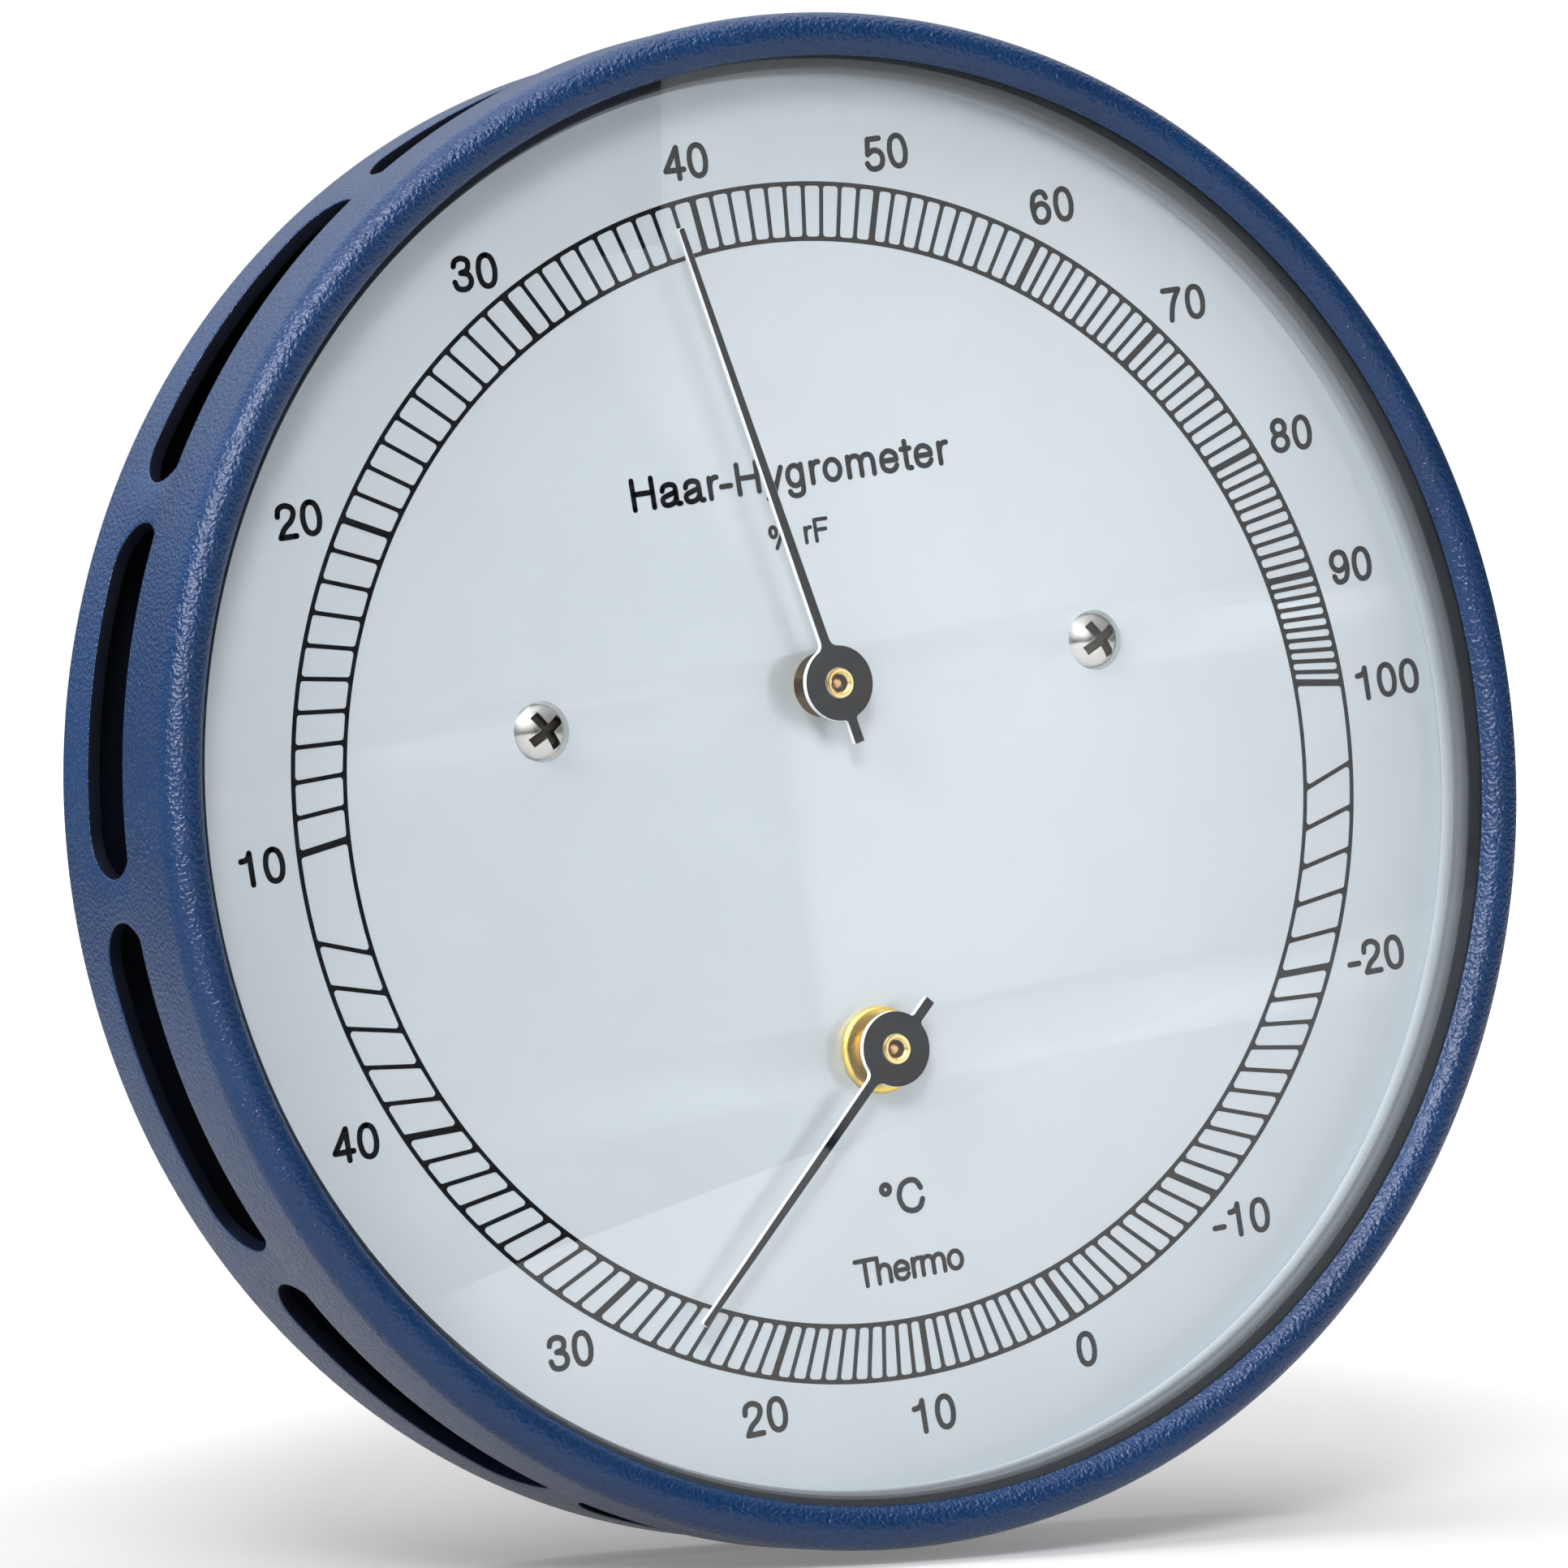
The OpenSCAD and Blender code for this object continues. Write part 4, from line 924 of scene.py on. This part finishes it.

# Arbors: turned, with a shoulder inside the bush and a small polished end; the shoulder is painted dark as the shade
# deep in the bush
arbor = {"shoulder": 0.9, "pin": 0.33, "end": 0.20, "ease": 0.14}
for kind, at in (("hygro", hygroAt), ("thermo", thermoAt)):
    box, level = span(kind + "_arbor"), span(kind + "_pointer_bush")["front"] - arbor["shoulder"]
    radius, rear, end, pin = (box["right"] - box["left"]) / 2, box["rear"], box["front"], arbor["pin"]
    profile = [(0, rear), (radius - 0.08, rear), (radius, rear + 0.08), (radius, level - 0.04), (radius - 0.04, level),
               (pin, level), (pin, end - arbor["ease"]), (arbor["end"], end), (0, end)]
    mesh = lathe(profile, 48, at, False)
    # Faces at the shoulder take the dark finish: painted shade
    for face in mesh.polygons:
        face.material_index = int(abs(face.center.z - level) < 0.1)
    finishPiece(kind + "Arbor", mesh, kind + "_spindle", "steel", (arborCopper, shoulderShade), [kind + "_arbor"], 30)

# Springs: the hairspring and the bimetal strip
springTree = makeSpringTree()
spring = {"turns": 5.0, "inner": 1.52}
for name, node, at, outer, strip, slot, surface in (
        ("hairspring", "hairspring", hygroAt, 6.0, 0.15, "spring_bronze", springBronze),
        ("bimetalSpiral", "bimetal_spiral", thermoAt, 9.4, 0.4, "bimetal", bimetalStrip)):
    box = span(node)
    wound = runTree(springTree, newMesh("empty", [], []), {
        "Turns": spring["turns"], "Inner": spring["inner"] + strip / 2, "Outer": outer - strip / 2,
        "Strip": strip, "Height": box["front"] - box["rear"], "Finish": surface})
    wound.transform(Matrix.Translation((*at, (box["front"] + box["rear"]) / 2)))
    finishPiece(name + "Coil", wound, "case", slot, surface, [node], 40)

# Hair: two runs of strands, split at one point along the bundle
hairSpan = span("hair_bundle")
hair = {"split": -10.0, "strands": 44, "strand": 0.045, "wander": 0.05, "seed": 3.0, "held": 3.0}
hairTree = makeHairTree()
half = (hairSpan["front"] - hairSpan["rear"]) / 2
for name, low, high, bodies in (("hairLeft", hairSpan["left"], hair["split"], ("hair_lever", "case")),
                                ("hairRight", hair["split"], hairSpan["right"], ("case", "hair_sector"))):
    strands = runTree(hairTree, newMesh("empty", [], []), {
        "Strands": hair["strands"], "Bundle": half - hair["strand"] * 1.2, "Strand": hair["strand"],
        "Length": high - low, "Wander": hair["wander"], "Seed": hair["seed"], "Finish": hairFibre})
    at = (hairSpan["y"], (hairSpan["front"] + hairSpan["rear"]) / 2)
    strands.transform(Matrix.Translation((low, *at)))
    piece = finishPiece(name, strands, None, "hair", hairFibre, ["hair_bundle"], 60)
    start, end = low + hair["held"], hair["split"]
    if bodies[0] == "case":
        start, end = hair["split"], high - hair["held"]
    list(bodies)
    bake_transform(piece)
print("springs and hair made")

# Frame nodes whose shape stays: each gets its own finish
kept = {clearGlass: ["glass"], sheetBrass: ["front_plate", "back_plate", "sector", "thermo_carrier"],
        bushBrass: ["hygro_pinion", "hairspring_collet", "bimetal_collet", "hairspring_stud", "thermo_nut",
                    "sector_hair_clip", "lever_hair_clip", "stud_nuts"],
        plainSteel: ["dial_pillars", "plate_pillars", "plate_screws", "case_studs", "sector_arbor",
                     "adjusting_lever", "lever_pivot", "adjusting_screw"]}
for surface, nodes in kept.items():
    for node in nodes:
        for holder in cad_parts[node].material_slots:
            holder.material = surface
print("kept nodes dressed")

# Camera at the photograph's place, in millimetres
picture = {"size": 1932, "lens": 224.44, "sensor": 36.0, "eye": (-311.606, -592.966, 18.791), "aside": 0.20}
across, below = Vector((.87066, -.46721, -.15385)), Vector((-.14890, .04778, -.98770))
ahead = Vector((.46881, .88286, -.02797))
eye = (Vector(picture["eye"]) + across * picture["aside"]) * mm
camera = bpy.data.cameras.new("camera")
camera.lens, camera.sensor_width, camera.sensor_fit = picture["lens"], picture["sensor"], "HORIZONTAL"
camera.clip_start, camera.clip_end = 0.05, 50
cameraObject = newObject("camera", camera)
cameraObject.matrix_world = Matrix.Translation(eye) @ Matrix((across, -below, -ahead)).transposed().to_4x4()
bpy.context.scene.camera = cameraObject


def mirroredAt(x, y, distance):
    # The place at this distance behind a picture point, along the way in which the glass throws the view back
    half = picture["size"] / 2
    focal = picture["lens"] / picture["sensor"] * picture["size"]
    ray = ahead * focal + across * (x - half) + below * (y - half)
    hit = eye + ray * ((-bezel["lip"] * mm - eye.y) / ray.y)
    return hit + Vector((ray.x, -ray.y, ray.z)).normalized() * distance


def stageObject(name, mesh, surface):
    mesh.materials.append(surface)
    made = newObject(name, mesh)
    return made


# Floor: white around the object. The photograph shows the object rolled a little on its rim and leaning back
# on the bezel's larger edge, so the floor slopes in the object's frame. Uphill it levels out, to stay out of
# the views from behind and from the left
ground = {"up": (0.130, -0.082, 0.988), "gap": 0.0003, "rise": 0.005, "steps": 96, "colour": (0.93, 0.93, 0.93),
          "glowAt": (0.060, 0.30), "glow": (0.20, 1.2), "inGloss": 0.2,
          "rings": (0.005, 0.02, 0.035, 0.05, 0.065, 0.08, 0.1, 0.12, 0.15, 0.18, 0.22, 0.27, 0.35, 0.5, 0.8, 1.5,
                    3.0, 6.0)}
upward = Vector(ground["up"]).normalized()
floorAt = min(upward.dot(v.co) for piece in (caseShell, bezelRing) for v in piece.data.vertices) - ground["gap"]


def makeFloor():
    # Paper that turns to plain white for the camera away from the object
    surface, node, sockets = newFinish("floorPaper", rough=0.9, level=0.0, base=ground["colour"])
    away = node("VectorMath", {0: node("TexCoord").outputs["Object"]}, operation="LENGTH")
    glow = node("MapRange", {"Value": away.outputs["Value"], "From Min": ground["glowAt"][0],
                             "From Max": ground["glowAt"][1], "To Min": ground["glow"][0],
                             "To Max": ground["glow"][1]}, interpolation_type="SMOOTHSTEP")
    seen, inGloss = viewKinds(node)
    total = maths(node, "MULTIPLY_ADD", inGloss, ground["inGloss"], maths(node, "MULTIPLY", glow, seen))
    sockets["Emission Color"].default_value = (1, 1, 1, 1)
    connect(total, sockets["Emission Strength"])
    return surface


def floorSpot(radius, angle):
    x, y = polar(radius, angle)
    rise = -(upward.x * x + upward.y * y) / upward.z
    return x, y, floorAt / upward.z + (ground["rise"] * math.tanh(rise / ground["rise"]) if rise > 0 else rise)


steps = ground["steps"]
corners = [floorSpot(r, fullTurn * k / steps) for r in ground["rings"] for k in range(steps)]
faces = [tuple(range(steps))]
for inside in range(0, (len(ground["rings"]) - 1) * steps, steps):
    outside = inside + steps
    faces += [(inside + k, outside + k, outside + (k + 1) % steps, inside + (k + 1) % steps) for k in range(steps)]
floorSheet = newMesh("floor", corners, faces)
floorSheet.shade_smooth()
floor = stageObject("floor", floorSheet, makeFloor())

# Cards: bright panels that only reflections see. Their outlines are the picture points where the glass shows
# them, and their strength is weaker in the glass itself than in the lacquer and the metals behind it
cards = {"distance": 0.9, "colour": (0.98, 0.99, 1.0, 1), "strength": (0.45, 1.65), "lower": (0.75, 1.9),
         "inner": [(820, 300), (1000, 760), (1060, 1440)], "outer": [(670, 330), (940, 760), (1030, 1440)],
         "lowInner": [(640, 1557), (640, 1760), (640, 2400)], "lowOuter": [(500, 1620), (500, 1760), (500, 2400)]}


def makeCard(name, points, strength, fading=False):
    # A fading card has nothing along the first half of its points and its full strength along the second half
    surface, node, output = bareFinish(name)
    behind = maths(node, "GREATER_THAN", node("LightPath").outputs["Transmission Depth"], 0.5)
    level = node("MapRange", {"Value": behind, "To Min": strength[0], "To Max": strength[1]})
    half, faces = len(points) // 2, [tuple(range(len(points)))]
    if fading:
        share = node("Attribute", attribute_name="share").outputs["Fac"]
        level = node("MapRange", {"Value": share, "To Max": level}, interpolation_type="SMOOTHSTEP")
        faces = [(i, i + 1, i + 1 + half, i + half) for i in range(half - 1)]
    light = node("Emission", {"Color": cards["colour"], "Strength": level})
    unseen = node("BsdfTransparent")
    connect(node("MixShader", {"Fac": viewKinds(node)[1], 1: unseen, 2: light}), output)
    mesh = newMesh(name, [mirroredAt(x, y, cards["distance"]) for x, y in points], faces)
    if fading:
        mesh.attributes.new("share", "FLOAT", "POINT").data.foreach_set("value", [0] * half + [1] * half)
    card = stageObject(name, mesh, surface)
    card.visible_camera = card.visible_diffuse = card.visible_shadow = False
    surface.cycles.emission_sampling = "NONE"


makeCard("cardMain", cards["inner"][::-1] + [(820, -300), (2600, -300), (2600, 700), (1760, 1120)],
         cards["strength"])
makeCard("cardFade", cards["outer"] + cards["inner"], cards["strength"], True)
makeCard("cardLow", cards["lowInner"][::-1] + [(1060, 1400), (1760, 1120), (2600, 700), (2600, 2400)],
         cards["lower"])
makeCard("cardLowFade", cards["lowOuter"] + cards["lowInner"], cards["lower"], True)

# Lamps, all aimed at the middle: direction, distance, size, power, seen in gloss, lights the finishes
lamps = {"keyLamp": ((-0.36, -0.77, 0.53), 1.2, 0.35, 7.8, False, True),
         "glossLamp": ((-0.45, -0.66, 0.60), 1.3, 0.95, 34, True, False),
         "rightLamp": ((0.47, -0.88, 0.10), 1.3, 0.4, 1.8, False, True),
         "topLamp": ((0.10, -0.20, 0.97), 1.2, 0.8, 6, True, True),
         "sideLamp": ((-0.70, -0.15, 0.70), 1.2, 0.6, 20, False, True)}
for name, (direction, distance, size, power, inGloss, onFinish) in lamps.items():
    lamp = bpy.data.lights.new(name, "AREA")
    lamp.shape, lamp.size, lamp.size_y, lamp.energy = "RECTANGLE", size, size, power
    lamp.cycles.use_multiple_importance_sampling = False
    made = newObject(name, lamp)
    away = Vector(direction).normalized()
    made.matrix_world = Matrix.Translation(away * distance) @ away.to_track_quat("Z", "Y").to_matrix().to_4x4()
    made.visible_glossy, made.visible_diffuse = inGloss, onFinish

# The side lamp leaves the floor out
aside = bpy.data.collections.new("aside")
aside.objects.link(floor)
bpy.data.objects["sideLamp"].light_linking.receiver_collection = aside
aside.collection_objects[0].light_linking.link_state = "EXCLUDE"

# World: soft fill, white behind the object for the camera and for gloss
studio = {"fill": 0.20, "front": 0.03, "inside": 0.5, "rear": 1.7, "low": 0.02, "turn": (-0.15, 0.45),
          "climb": (0.10, 0.75)}
world = bpy.data.worlds.new("studio")
bpy.context.scene.world = world
world.use_nodes = True
world.cycles.sampling_method = "NONE"
sky = world.node_tree.nodes["Background"].inputs
sky["Color"].default_value = (1, 1, 1, 1)
node = nodeMaker(world.node_tree)
seen, inGloss = viewKinds(node)
split = node("SeparateXYZ", {"Vector": node("TexCoord").outputs["Generated"]}).outputs
deep = maths(node, "GREATER_THAN", node("LightPath").outputs["Transmission Depth"], 2.5)
near = node("Mix", {"Factor": deep, "A": studio["front"], "B": studio["inside"]})
rear = node("MapRange", {"Value": split["Y"], "From Min": studio["turn"][0], "From Max": studio["turn"][1],
                         "To Min": near, "To Max": studio["rear"]})
above = node("MapRange", {"Value": split["Z"], "From Min": studio["climb"][0], "From Max": studio["climb"][1],
                          "To Min": studio["low"], "To Max": 1.0})
around = maths(node, "MULTIPLY", rear, above)
fill = node("Mix", {"Factor": inGloss, "A": studio["fill"], "B": around})
connect(node("Mix", {"Factor": seen, "A": fill, "B": 1.0}), sky["Strength"])

bpy.context.scene.view_settings.view_transform = "Standard"
